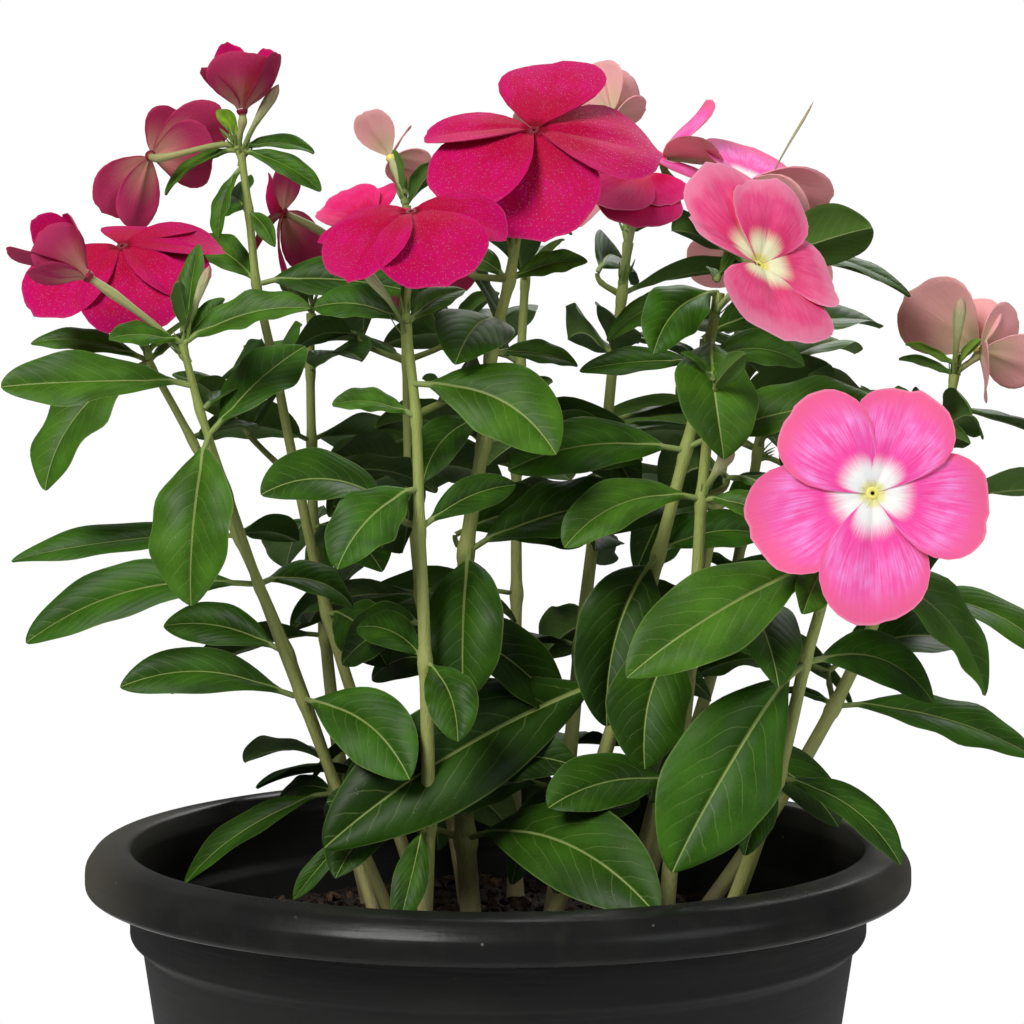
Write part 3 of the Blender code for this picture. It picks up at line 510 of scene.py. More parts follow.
# Leaves that stand out singly, by shoot and joint: the tip from its joint (x, y, z in mm), the
# angle that the blade bends through and its width as a share of its length.
POSED_LEAVES = {
    "front_left": {
        0: ((-13, -5, -14, 30, 0.3), (10, 22, 6, 50, 0.4)),
        1: ((-39, -3, 3, 35, 0.36), (25, -12, -15, 40, 0.42)),
        2: ((-51, 3, -13, 40, 0.3), (20, 24, -6, 60, 0.36)),
        3: ((-9, -17, -30, 85, 0.52), (17, 14, 18, 15, 0.42)),
        4: ((-38, -6, 3, 30, 0.38), (8, 20, 4, 40, 0.4)),
        5: ((3, -3, 21, -12, 0.4), (27, -6, 8, 40, 0.38), (-14, -9, 1, 35, 0.5), (8, 2, 12, 5, 0.4)),
    },
    "left": {
        0: ((-36, 1, -22, 55, 0.28), (-16, 14, -4, 45, 0.3)),
        1: ((-30, 8, 6, 35, 0.42), (14, 26, 8, 40, 0.36)),
        2: ((-52, 1, -6, 30, 0.26), (12, 26, -2, 50, 0.36)),
        3: ((-16, 16, 2, 40, 0.4), (14, 18, 4, 40, 0.36)),
        4: ((-21, -9, -26, 75, 0.56), (-28, 2, 5, 30, 0.3), (9, 10, 8, 30, 0.4)),
    },
    "back_left": {
        4: ((36, -4, -2, 40, 0.42), (-18, 16, 12, 35, 0.38)),
        6: ((-22, -4, -8, 75, 0.42), (18, 3, 2, 70, 0.42), (3, -15, -7, 60, 0.45)),
    },
    "centre_left": {
        0: ((-5, -13, -19, 45, 0.36), (-22, 6, 4, 60, 0.4)),
        1: ((7, -15, -15, 55, 0.55), (-16, 18, 6, 45, 0.4)),
        2: ((-20, -12, -12, 65, 0.52), (20, 10, 9, 30, 0.4)),
        3: ((29, -11, -13, 50, 0.5), (-16, -4, 6, 35, 0.44)),
        4: ((-21, 2, 9, 45, 0.48), (12, 12, 8, 30, 0.4)),
    },
    "centre": {
        0: ((40, -43, -8, 62, 0.38), (-24, 12, 8, 50, 0.36)),
        1: ((14, -12, -6, 50, 0.42), (-22, 26, -2, 60, 0.36)),
        2: ((-1, -17, -31, 75, 0.56), (38, 9, 12, 35, 0.44)),
        3: ((-13, -14, -14, 55, 0.5), (36, 8, -4, 45, 0.44)),
        4: ((-14, -20, -10, 60, 0.5), (19, 8, -2, 40, 0.36)),
        5: ((17, -1, 6, 20, 0.38), (-14, 12, 6, 40, 0.4)),
    },
    "right_centre": {
        0: ((-6, -20, -10, 60, 0.4), (14, 18, 4, 50, 0.36)),
        1: ((-60, -37, -27, 45, 0.34), (22, 18, -6, 50, 0.36)),
        2: ((-12, -17, -36, 60, 0.5), (26, 14, 4, 50, 0.38)),
        4: ((5, -17, -24, 70, 0.58), (-30, 10, -12, 40, 0.3), (24, 12, 0, 50, 0.4)),
        5: ((-15, -17, -14, 55, 0.54), (-24, 8, -10, 40, 0.3)),
    },
    "right_inner": {
        0: ((-26, -18, -9, 50, 0.5), (16, 10, -6, 50, 0.4)),
        1: ((-11, -18, -28, 65, 0.56), (18, 10, -8, 60, 0.4)),
        2: ((-30, -10, -10, 65, 0.4), (17, -8, -6, 50, 0.46)),
    },
    "right_front": {
        0: ((26, -5, -18, 50, 0.34), (-8, -16, -14, 60, 0.4)),
        1: ((-29, -21, -40, 42, 0.5), (30, 16, -10, 55, 0.4)),
        2: ((-42, -14, -22, 40, 0.44), (37, 12, -28, 75, 0.42), (-6, -12, -9, 60, 0.6)),
    },
    "far_right": {
        0: ((47, -6, -12, 45, 0.34), (-16, 14, 2, 50, 0.4)),
        1: ((40, -12, -16, 50, 0.36), (-24, 8, 6, 40, 0.42)),
    },
}

# Blooms: the shoot and the share of it that the tube leaves from, the centre (mm), the heading and
# rise of the way it faces, the width across (mm), how far its petals lean out (0 is a closed tube,
# 90 is flat), the angle that each petal bends through, and the turn of its first petal.
BLOOMS = {
    "top_crimson": ("centre", 0.95, (9, -37, 319), (266, 34), 54, 90, 30, 90),
    "low_crimson": ("centre_left", 1.0, (-23, -57, 299), (250, 74), 46, 98, 38, 30),
    "left_crimson": ("left", 1.0, (-83, -14, 299), (110, 78), 56, 98, 50, 0),
    "tall_crimson": ("back_left", 1.0, (-84, 22, 319), (140, 32), 42, 96, 30, 20),
    "cup_high": ("back_left", 1.0, (-61, 12, 331), (180, 84), 34, 12, 38, 10),
    "cup_left": ("front_left", 0.97, (-86, -53, 284), (190, 48), 36, 14, 34, 40),
    "side_magenta": ("back_centre", 0.86, (-49, 40, 306), (165, 20), 40, 92, 25, 80),
    "pale_back": ("back_centre", 1.0, (-29, 60, 328), (150, 50), 38, 66, 25, 15),
    "rosy_back": ("back_centre", 0.93, (-36, 62, 304), (200, 60), 40, 94, 30, 50),
    "high_pink": ("right_back", 1.0, (46, 20, 325), (150, 50), 40, 90, 35, 60),
    "flat_pink": ("right_back", 0.96, (66, 16, 320), (60, 62), 42, 92, 40, 10),
    "pale_high": ("centre_back", 1.0, (26, 40, 331), (80, 38), 34, 84, 20, 40),
    "low_pink": ("centre_back", 0.93, (33, 10, 304), (290, 55), 36, 92, 35, 30),
    "salmon": ("right_centre", 0.96, (56, -42, 288), (252, 12), 44, 72, -12, 100),
    "main_pink": ("right_front", 1.0, (75, -74, 241), (270, 6), 52, 90, 12, 55),
    "far_pink": ("far_right", 1.0, (122, 32, 277), (25, 52), 46, 90, 25, 20),
    "rear_pink": ("rear", 1.0, (12, 104, 331), (95, 40), 44, 92, 25, 15),
    "rear_left_crimson": ("rear_left", 1.0, (-26, 101, 306), (115, 60), 44, 94, 30, 50),
    "rear_right_pink": ("rear_right", 1.0, (72, 88, 304), (60, 48), 42, 92, 25, 35),
    "rear_low_pink": ("rear_right", 0.75, (98, 66, 240), (20, 35), 46, 92, 25, 10),
}

# Closed buds: the shoot and the share of it that they leave from, and where their tips lie (mm).
BUDS = (
    ("back_left", 0.98, (-52, 10, 336)),
    ("centre_left", 0.97, (-29, -56, 289)),
    ("right_inner", 0.81, (50, -45, 250)),
    ("right_back", 0.98, (76, 22, 334)),
    ("far_right", 0.98, (112, 22, 287)),
    ("front_left", 0.99, (-60, -52, 288)),
    ("rear", 0.97, (-4, 92, 330)),
)


def unit(vector):
    return vector / np.linalg.norm(vector, axis=-1, keepdims=True)


def direction(heading, rise):
    """A unit vector from a heading about +Z and a rise above the level, in degrees."""
    turn, lift = math.radians(heading), math.radians(rise)
    return np.array((math.cos(turn) * math.cos(lift), math.sin(turn) * math.cos(lift), math.sin(lift)))


def across(forward):
    """A level unit vector square to a direction, and the one square to both."""
    side = np.cross(forward, (0.0, 0.0, 1.0))
    if np.linalg.norm(side) < 1e-3:
        side = np.array((1.0, 0.0, 0.0))
    side = unit(side)
    return side, np.cross(side, forward)


def ring_bands(rings, sides):
    """The numbers of the points on each ring, of the next point round, and the faces between."""
    index = np.arange(rings * sides).reshape(rings, sides)
    after = np.roll(index, -1, axis=1)
    faces = np.stack((index[:-1], after[:-1], after[1:], index[1:]), axis=-1).reshape(-1, 4)
    return index, after, faces


def loft(rings, tip=None):
    """A closed skin over rings of points, all of one count, with an optional point at its end."""
    sides = len(rings[0])
    points = np.concatenate(rings)
    index, after, bands = ring_bands(len(rings), sides)
    faces = [index[0][::-1].tolist(), *bands.tolist()]
    if tip is None:
        return points, [*faces, index[-1].tolist()]
    fan = [(a, b, len(points)) for a, b in zip(index[-1].tolist(), after[-1].tolist())]
    return np.vstack((points, tip)), [*faces, *fan]


def tube(centres, radii, sides, tip=None, level_foot=False):
    """A skin of round rings square to the way that their centres run, the first one level if asked."""
    centres = np.array(centres)
    ways = np.gradient(centres, axis=0)
    if level_foot:
        ways[0] = (0, 0, 1)
    angles = np.arange(sides) * 2 * math.pi / sides
    side, _ = across(unit(ways[0]) + (0.0, 0.0, 1e-6))
    rings = []
    for centre, way, radius in zip(centres, ways, radii):
        way = unit(way)
        side = unit(side - way * np.dot(side, way))
        other = np.cross(way, side)
        rings.append(centre + radius * (np.outer(np.cos(angles), side) + np.outer(np.sin(angles), other)))
    return loft(rings, tip)


class Arc:
    """The arc that a blade follows: it starts at an angle above `ahead` and bends down evenly."""

    def __init__(self, root, ahead, up, length, start, bend):
        self.root = root
        self.ahead = ahead
        self.up = up
        self.length = length
        self.start = math.radians(start)
        self.bend = math.radians(bend if abs(bend) > 1 else 1)

    def angle(self, share):
        return self.start - self.bend * share

    def point(self, share):
        """The angle falls evenly, so the run and the rise are differences of sines and cosines."""
        angle = self.angle(share)
        run = (math.sin(self.start) - np.sin(angle)) / self.bend
        rise = (np.cos(angle) - math.cos(self.start)) / self.bend
        return self.root + self.length * (self.ahead * run + self.up * rise)

    def normal(self, share):
        angle = self.angle(share)
        return self.up * np.cos(angle) - self.ahead * np.sin(angle)

    def ring(self, share, half_width, depth, roll, fold):
        """A blade's section: its two edges, lifted by the fold, and its keel under the middle."""
        normal = self.normal(share)
        beside = np.cross(self.ahead, self.up)
        side = beside * math.cos(roll) + normal * math.sin(roll)
        over = normal * math.cos(roll) - beside * math.sin(roll)
        centre = self.point(share) + over * depth / 2
        edge = over * half_width * fold
        reach = side * half_width
        return np.array((centre - reach + edge, centre - over * depth, centre + reach + edge))

    def roll_to(self, light):
        """The turn about the arc that brings its upper face towards a direction."""
        turn = math.atan2(-np.dot(light, np.cross(self.ahead, self.up)), np.dot(light, self.normal(0.6)))
        most = math.radians(MOST_TURN)
        return min(max(turn * LIGHT_TURN, -most), most)


def reach_arc(root, reach, bend, facing=None):
    """The arc of a blade whose tip lies `reach` from its root: it rises and falls by half its bend,
    towards the way it faces, or upwards if none is given."""
    chord = np.linalg.norm(reach)
    ahead = reach / chord
    half = math.radians(bend if abs(bend) > 1 else 1) / 2
    up = across(ahead)[1] if facing is None else unit(facing - ahead * np.dot(facing, ahead))
    return Arc(root, ahead, up, chord * half / math.sin(half), bend / 2, bend)


def leaf(arc, width, roll, extra=0.0, stalk=True):
    """The space that a leaf takes: a stalk and a thin blade, drawn by a few rings, to a point."""
    rings = []
    if stalk:
        rings.append(arc.ring(0.0, STALK_RADIUS + extra, 2 * STALK_RADIUS + 2 * extra, roll, 0.0))
    for station in LEAF_STATIONS:
        half_width = 0.5 * math.sin(math.pi * station ** 0.92) ** 0.72 * width * arc.length
        half_width = max(half_width, STALK_RADIUS) + extra
        depth = (LEAF_THICKNESS if station else 2 * STALK_RADIUS) + 2 * extra
        share = STALK_SHARE + (1 - STALK_SHARE) * station
        rings.append(arc.ring(share, half_width, depth, roll, LEAF_FOLD if station else 0.0))
    return loft(rings, arc.point(1.0 + extra / arc.length))


def corolla(centre, facing, lean, turn, bend, size):
    """The space that a bloom's petals take: spokes that leave the throat at their lean and bend
    back, long at the petals' corners and short at the notches between."""
    side, up = across(facing)
    corners = [
        (math.radians(turn + number * 360 / PETALS + angle), length)
        for number in range(PETALS) for angle, length in PETAL_OUTLINE
    ]
    half = PETAL_THICKNESS / 2
    front = [[] for _ in PETAL_STATIONS]
    back = [[] for _ in PETAL_STATIONS]
    for angle, length in corners:
        outward = side * math.cos(angle) + up * math.sin(angle)
        arc = Arc(centre, outward, facing, size * length, 90 - lean, bend * (1 - DROOP * outward[2]))
        for row, share in enumerate(PETAL_STATIONS):
            front[row].append(arc.point(share) + arc.normal(share) * half)
            back[row].append(arc.point(share) - arc.normal(share) * half)
    count = len(corners)
    rows = (*front[0], *front[1], *back[1], *back[0])
    points = np.array([centre + facing * half, *rows, centre - facing * half])
    faces = []
    for k in range(count):
        after = (k + 1) % count
        faces.append((0, 1 + after, 1 + k))
        for row in range(3):
            start = 1 + row * count
            faces.append((start + k, start + after, start + count + after, start + count + k))
        faces.append((1 + 3 * count + k, 1 + 3 * count + after, 1 + 4 * count))
    return points, faces


def swerve(start, way, end, arrival, count):
    """Points of a smooth curve that leaves `start` along `way` and reaches `end` along `arrival`."""
    shares = np.linspace(0, 1, count)[:, None]
    return ((1 - shares) ** 3 * start + 3 * (1 - shares) ** 2 * shares * (start + way)
            + 3 * (1 - shares) * shares ** 2 * (end - arrival) + shares ** 3 * end)


class Piece:
    """A closed skin, with the tree that finds where it crosses another."""

    def __init__(self, skin):
        points, faces = skin
        self.tree = BVHTree.FromPolygons(points.tolist(), faces)
        self.low = points.min(axis=0)
        self.high = points.max(axis=0)

    def crosses(self, other):
        if np.any(self.low > other.high) or np.any(other.low > self.high):
            return False
        return bool(self.tree.overlap(other.tree))


class Bed:
    """What stands in the pot so far. A new piece has to keep clear of every other shoot's pieces,
    and a new blade also of its own shoot's blades."""

    def __init__(self):
        self.fixed = []
        self.pieces = {}
        self.blades = {}

    def add(self, owner, piece, blade=None):
        self.pieces.setdefault(owner, []).append(piece)
        self.blades.setdefault(owner, []).append(blade or piece)

    def is_clear(self, owner, padded, blade):
        others = [item for name, items in self.pieces.items() if name != owner for item in items]
        if any(padded.crosses(item) for item in self.fixed + others):
            return False
        return not any(blade.crosses(item) for item in self.blades.get(owner, []))


def lengthwise(reach, heading, rise):
    """A reach turned about +Z and tipped up or down, in degrees, at its own length."""
    length = np.linalg.norm(reach)
    level = math.degrees(math.atan2(reach[1], reach[0])) + heading
    steep = math.degrees(math.asin(np.clip(reach[2] / length, -1, 1))) + rise
    return direction(level, min(max(steep, -88), 88)) * length


def settle_leaf(bed, owner, chance, root, reach, bend, width, light, spread):
    """Place a leaf, turned a little more at each try until it is clear; the last try gives up."""
    for attempt in range(TRIES):
        swing = spread * attempt / TRIES
        heading = chance.uniform(-1, 1) * swing
        rise = chance.uniform(-0.7, 0.7) * swing
        arc = reach_arc(root, lengthwise(reach, heading, rise), bend)
        roll = arc.roll_to(light) + math.radians(chance.uniform(-10, 10))
        padded = Piece(leaf(arc, width, roll, CLEARANCE))
        blade = Piece(leaf(arc, width, roll, CLEARANCE / 2, stalk=False))
        if bed.is_clear(owner, padded, blade):
            bed.add(owner, Piece(leaf(arc, width, roll)), blade)
            return arc, width, roll
    return None


def light_at(root):
    """Where the light comes from at a place in the clump: outside it and above."""
    return unit((root - CLUMP_CENTRE) * (1, 1, 0)) + (0, 0, LIGHT_RISE)


def rule_pair(chance, shoot, number):
    """The two leaves of a joint that follows the rule: crossed pairs, large and drooping below,
    small and upright near the tip."""
    height = number / (len(shoot.joints) - 1)
    heading = shoot.turn + 90 * number + chance.uniform(-16, 16)
    size = shoot.leaf * (0.72 + 0.28 * math.sin(math.pi * (0.15 + 0.75 * height)))
    if number == len(shoot.joints) - 1:
        size *= 0.45
    pair = []
    for side in (0, 180):
        rise = 2 + 34 * height ** 2 + chance.uniform(-10, 8)
        bend = 62 - 38 * height + chance.uniform(-14, 14)
        length = size * chance.uniform(0.82, 1.1)
        way = direction(heading + side + chance.uniform(-12, 12), rise - bend * 0.22)
        pair.append((way * length, bend, LEAF_WIDTH * chance.uniform(0.9, 1.12)))
    return pair


def grow_leaves(bed, name, shoot, chance):
    """Every leaf of a shoot, with the height of its joint as a share of the leafy part and its
    place: the shoot, the joint, and which of the joint's leaves it is."""
    grown = []
    posed = POSED_LEAVES.get(name, {})
    for number, share in enumerate(shoot.joints):
        root = shoot.point(share)
        light, spread = light_at(root), 70
        if number in posed:
            pairs = [(np.array(row[:3]) * MM, row[3], row[4]) for row in posed[number]]
            light, spread = light + FRONT, 26
        else:
            pairs = rule_pair(chance, shoot, number)
        for place, (reach, bend, width) in enumerate(pairs):
            placed = settle_leaf(bed, name, chance, root, reach, bend, width, light, spread)
            if placed:
                grown.append((*placed, number / (len(shoot.joints) - 1), (name, number, place)))
    return grown


def grow_twigs(bed, name, shoot, chance):
    """Short twigs from the axils, each with a pair of small leaves and a smaller pair at its tip."""
    routes = []
    grown = []
    for number in shoot.twigs:
        root = shoot.point(shoot.joints[number])
        place = (name, number, "twig")
        for _ in range(TRIES):
            way = direction(chance.uniform(0, 360), chance.uniform(28, 55))
            end = root + way * chance.uniform(16, 26) * MM
            fine = swerve(root, way * 4 * MM, end, np.array((0, 0, 5 * MM)), TWIG_STATIONS)
            route = fine[::4]
            radii = np.linspace(1.3, 1.0, 4) * TWIG_RADIUS
            padded = Piece(tube(route, radii + CLEARANCE, 3))
            blade = Piece(tube(route[1:], radii[1:], 3))
            if bed.is_clear(name, padded, blade):
                break
        else:
            continue
        bed.add(name, Piece(tube(route, radii, 3, end + np.array((0, 0, 2 * MM)))), blade)
        routes.append((place, fine))
        turn = chance.uniform(0, 180)
        for share, size in ((2, 0.62), (3, 0.42)):
            root = route[share]
            for side in (0, 180):
                way = direction(turn + side + 90 * share, 28)
                reach = way * shoot.leaf * size * chance.uniform(0.85, 1.1)
                placed = settle_leaf(bed, name, chance, root, reach, 35, LEAF_WIDTH, light_at(root), 60)
                if placed:
                    grown.append((*placed, 0.7, place))
    return routes, grown


def grow_sprays(bed, name, shoot, chance):
    """Fine side twigs between the pairs, turned into the clump, each with up to two leaves. A leaf
    that would rise is left out, so that no spray stands before a bloom."""
    routes = []
    grown = []
    for number, share in enumerate(shoot.joints[:-1]):
        root = shoot.point(share)
        place = (name, number, "spray")
        heading = 90 + chance.uniform(-80, 80)
        way = direction(heading, chance.uniform(15, 45))
        end = root + way * chance.uniform(6, 15) * MM
        route = swerve(root, way * 3 * MM, end, np.array((0, 0, 3 * MM)), TWIG_STATIONS)
        kept = []
        for turn in (-75, 75):
            length = shoot.leaf * chance.uniform(0.7, 1.05)
            reach = direction(heading + turn, chance.uniform(-40, 10)) * length
            bend = chance.uniform(40, 80)
            light = light_at(end) + FRONT * 0.5
            placed = settle_leaf(bed, name, chance, end, reach, bend, LEAF_WIDTH * 1.15, light, 60)
            if placed and placed[0].ahead[2] < SPRAY_RISE:
                kept.append((*placed, 0.45, place))
        if kept:
            routes.append((place, route))
        grown += kept
    return routes, grown


def bloom_route(shoot, share, centre, faces, count):
    """The curve of a bloom's tube: up from the axil, then into the way that the bloom faces."""
    root = shoot.point(share)
    centre = np.array(centre) * MM
    reach = np.linalg.norm(centre - root)
    way = direction(faces[0], 60) * reach * 0.25
    return swerve(root, way, centre, direction(*faces) * reach * 0.4, count)


def bud_route(shoot, share, tip, count):
    """The curve of a bud: up out of the axil, then straight to its tip."""
    root = shoot.point(share)
    reach = np.array(tip) * MM - root
    way = np.array((0, 0, np.linalg.norm(reach) * 0.3))
    return swerve(root, way, np.array(tip) * MM, reach * 0.2, count)


def pot_walls():
    """The pot from halfway up its outside, over the rim and down to the soil, as one closed skin."""
    angles = np.arange(WALL_SIDES) * 2 * math.pi / WALL_SIDES
    circle = np.stack((np.cos(angles), np.sin(angles), np.zeros(WALL_SIDES)), axis=1)
    outline = [
        (pot_radius(POT_HEIGHT / 2), POT_HEIGHT / 2),
        (BAND_RADIUS, POT_HEIGHT - RIM_DEPTH),
        (RIM_RADIUS, POT_HEIGHT - RIM_DEPTH),
        (RIM_RADIUS, POT_HEIGHT - RIM_ROUND),
        (RIM_RADIUS - 0.3 * RIM_ROUND, POT_HEIGHT - 0.3 * RIM_ROUND),
        (CREST_RADIUS, POT_HEIGHT),
        (BAND_RADIUS - WALL, POT_HEIGHT),
        (pot_radius(SOIL_TOP) - WALL, SOIL_TOP),
    ]
    return loft([circle * radius + (0, 0, height) for radius, height in outline])


# First what has a set place: the pot, the stems, the blooms and the buds.
bed = Bed()
bed.fixed = [Piece(pot_walls())]
for name, shoot in SHOOTS.items():
    rise = np.linalg.norm(shoot.tip - shoot.base)
    start = shoot.joints[0] - 4 * MM / rise
    marks = np.linspace(0, start - GAP / rise, 5)
    centres = [shoot.point(mark) for mark in marks]
    radii = [shoot.radius(mark) for mark in marks]
    bed.fixed.append(Piece(tube(centres, radii, STEM_SIDES, level_foot=True)))
    marks = (start, *shoot.joints)
    centres = [shoot.point(mark) for mark in marks]
    radii = [shoot.radius(mark) for mark in marks]
    bed.add(name, Piece(tube(centres, radii, STEM_SIDES, shoot.tip + np.array((0, 0, 3 * MM)))))
for owner, share, centre, faces, width, lean, bend, turn in BLOOMS.values():
    route = bloom_route(SHOOTS[owner], share, centre, faces, len(TUBE_RADII))
    bed.add(owner, Piece(tube(route, TUBE_RADII, 4)))
    facing = direction(*faces)
    heart = np.array(centre) * MM - facing * PETAL_THICKNESS
    bed.add(owner, Piece(corolla(heart, facing, lean, turn, bend, width * MM / 2)))
for owner, share, tip in BUDS:
    route = bud_route(SHOOTS[owner], share, tip, 6)[:-1]
    bed.add(owner, Piece(tube(route, BUD_RADII, 4, np.array(tip) * MM)))

# Then the leaves, posed shoots first, and the twigs.
leaves = []
twigs = []
chance = random.Random(SEED)
for name in sorted(SHOOTS, key=lambda name: name not in POSED_LEAVES):
    leaves += grow_leaves(bed, name, SHOOTS[name], chance)
for name, shoot in SHOOTS.items():
    routes, grown = grow_twigs(bed, name, shoot, chance)
    twigs += routes
    leaves += grown

# Small leaves in the axils and round each tip.
chance = random.Random(SEED + 1)
for name, shoot in SHOOTS.items():
    for number, share in enumerate(shoot.joints):
        last = number == len(shoot.joints) - 1
        if not last and chance.random() > AXIL_SHARE:
            continue
        turn = shoot.turn + 90 * number + chance.uniform(-20, 20)
        root = shoot.point(share) + (0, 0, (2.5 if last else 0.5) * MM)
        for side in (0, 90, 180, 270) if last else (0, 180):
            length = chance.uniform(*AXIL_LENGTHS) * MM
            reach = direction(turn + side, chance.uniform(38, 66)) * length
            placed = settle_leaf(bed, name, chance, root, reach, 24, 0.36, light_at(root), 40)
            if placed:
                leaves.append((*placed, 1.2, (name, number, "axil")))

# Sprays on the shoots that aren't bare between their pairs.
chance = random.Random(SEED + 2)
for name in (name for name in SHOOTS if name not in BARE_SHOOTS):
    routes, grown = grow_sprays(bed, name, SHOOTS[name], chance)
    twigs += routes
    leaves += grown

# Leaves put in their own place once all are grown, by shoot, joint and which leaf: the height they
# leave from, counted in joints, the tip from there (x, y, z in mm), the bend and the width.
SINGLE_LEAVES = {
    ("right_centre", 1, 0): (1, -65, -27, -32, 36, 0.36),
    ("right_centre", 4, 0): (4.4, 2, -17, -27, 60, 0.68),
    ("right_centre", 4, 1): (4, -27, 5, -1, 30, 0.30),
    ("front_left", 5, 0): (5, 2, 4, 21.5, -15, 0.36),
    ("front_left", 5, 3): (5, 8, 3, 10, 5, 0.50),
    ("front_left", 4, 0): (4.35, -40, -6, 0, 30, 0.38),
    ("front_left", 1, 1): (1, 25, -20, -15, 40, 0.52),
    ("front_left", 3, 0): (3.7, -3, -14, -36, 60, 0.56),
    ("front_left", 3, 1): (3.7, 19, 14, 19, 15, 0.60),
    ("left", 4, 0): (4, -23, -12, -29, 50, 0.66),
    ("back_left", 5, 1): (5, 7, -6, -9, 50, 0.40),
    ("back_left", 6, 0): (6, -20, 10, -9, 60, 0.30),
    ("back_left", 6, 1): (6, 18, 3, 0, 60, 0.34),
    ("back_left", 6, 2): (6, 20, -4, -10, 40, 0.30),
    ("back_left", 6, 3): (5.7, -5, -4, -17, 50, 0.45),
    ("centre_left", 3, 0): (3.35, 30, -11, -15, 50, 0.58),
    ("centre_left", 2, 0): (2.35, -17, -13, -16, 60, 0.62),
    ("centre", 4, 0): (4.4, -9, -26, -10, 70, 0.62),
    ("centre", 3, 0): (3.3, -13, -14, -14, 55, 0.50),
}

# Leaves, twigs and sprays left out, where the clump is open.
LEFT_OUT = {
    ("right_front", 0, "spray"), ("back_left", 2, 0), ("left", 3, 0), ("centre_back", 5, 0),
    ("centre_back", 4, "twig"), ("back_centre", 3, 0), ("rear", 3, 0), ("rear", 4, "spray"),
    ("right_back", 3, 1), ("right_centre", 3, "spray"), ("right_back", 3, "spray"), ("rear", 1, 1),
    ("right_centre", 2, "spray"), ("back_centre", 1, "spray"), ("rear", 1, "spray"),
    ("centre", 4, "spray"), ("right_back", 6, "axil"),
}
leaves = [row for row in leaves if row[4] not in LEFT_OUT]
twigs = [route for place, route in twigs if place not in LEFT_OUT]
spots = {row[4]: spot for spot, row in enumerate(leaves)}
for place, (number, *reach, bend, width) in SINGLE_LEAVES.items():
    shoot = SHOOTS[place[0]]
    count = len(shoot.joints)
    root = shoot.point(float(np.interp(number, range(count), shoot.joints)))
    arc = reach_arc(root, np.array(reach) * MM, bend)
    row = (arc, width, arc.roll_to(light_at(root) + FRONT), number / (count - 1), place)
    if place in spots:
        leaves[spots[place]] = row
    else:
        leaves.append(row)


def pipes(name, routes, radii, sides, grooves=None, crease=60):
    """Closed round skins along routes (skin, station, xyz): rings square to the way each route runs,
    carried along without a twist. radii is (skin, station); grooves (station, side) scales them.
    The map OFBake runs once round and once along each."""
    ways = unit(np.gradient(routes, axis=1))
    least = np.eye(3)[np.argmin(np.abs(ways.mean(axis=1)), axis=1)]
    side = unit(np.cross(least, ways[:, 0]))
    angle = np.arange(sides) * 2 * math.pi / sides
    shape = np.ones((routes.shape[1], sides)) if grooves is None else grooves
    rings = []
    last = ways[:, 0]
    for station in range(routes.shape[1]):
        way = ways[:, station]
        way = way * np.where(np.sum(way * last, axis=1, keepdims=True) < 0, -1, 1)
        last = way
        side = unit(side - way * np.sum(side * way, axis=1, keepdims=True))
        other = np.cross(way, side)
        out = side[:, None] * np.cos(angle)[:, None] + other[:, None] * np.sin(angle)[:, None]
        rings.append(routes[:, station, None] + out * (radii[:, station, None] * shape[station])[..., None])
    rings = np.stack(rings, axis=1)
    skins, stations = rings.shape[:2]
    points = np.concatenate((rings.reshape(skins, -1, 3), routes[:, :1], routes[:, -1:]), axis=1)
    index, after, bands = ring_bands(stations, sides)
    foot, top = stations * sides, stations * sides + 1
    fans = np.vstack((
        np.stack((np.full(sides, foot), after[0], index[0]), axis=-1),
        np.stack((np.full(sides, top), index[-1], after[-1]), axis=-1),
    ))
    shift = points.shape[1] * np.arange(skins)[:, None, None]
    faces = (bands[None] + shift).reshape(-1, 4).tolist()
    faces += (fans[None] + shift).reshape(-1, 3).tolist()
    piece = new_piece(name, points.reshape(-1, 3), faces, crease)
    around = np.arange(sides)[:, None] / sides
    along = np.linspace(0, 1, stations)
    u = (around + np.array((0, 1, 1, 0)) / sides)[None]
    v = np.stack((along[:-1], along[:-1], along[1:], along[1:]), axis=-1)[:, None]
    quad_map = np.stack(np.broadcast_arrays(u, v), axis=-1).reshape(-1, 2)
    u = (around + np.array((0.5, 1, 0)) / sides)[None]
    v = np.array((0, 1))[:, None, None]
    fan_map = np.stack(np.broadcast_arrays(u, v), axis=-1).reshape(-1, 2)
    flat = np.concatenate((np.tile(quad_map, (skins, 1)), np.tile(fan_map, (skins, 1))))
    piece.data.uv_layers.new(name="OFBake").uv.foreach_set("vector", flat.ravel())
    return piece


# The stems' own skins: a swelling at each joint, four soft ridges, and a fine waviness.
STEM_STATIONS = 150
STEM_ROUND = 14
SLENDER = {"front_left": 0.66, "left": 0.70, "back_left": 0.74, "back_centre": 0.8, "centre_left": 0.82}
USUAL_SLENDER = 0.9
share = np.linspace(0, 1, STEM_STATIONS)[:, None]
routes = []
radii = []
wander = np.random.default_rng(5)
for name, shoot in SHOOTS.items():
    rise = np.linalg.norm(shoot.tip - shoot.base)
    route = shoot.point(share)
    along = share * rise
    joints = shoot.joints * rise
    knee = np.exp(-((along - joints) / (2.2 * MM)) ** 2).sum(axis=1)
    scar = np.exp(-((along - joints + 1.6 * MM) / (0.5 * MM)) ** 2).sum(axis=1)
    sway = [np.interp(along[:, 0], joints, wander.uniform(-0.8, 0.8, len(joints))) for _ in "xy"]
    route[:, :2] += np.stack(sway, axis=-1) * np.minimum(1, along / (12 * MM)) * MM
    slender = SLENDER.get(name, USUAL_SLENDER)
    routes.append(route)
    radii.append(shoot.radius(share[:, 0]) * slender * (1 + 0.26 * knee + 0.07 * scar))
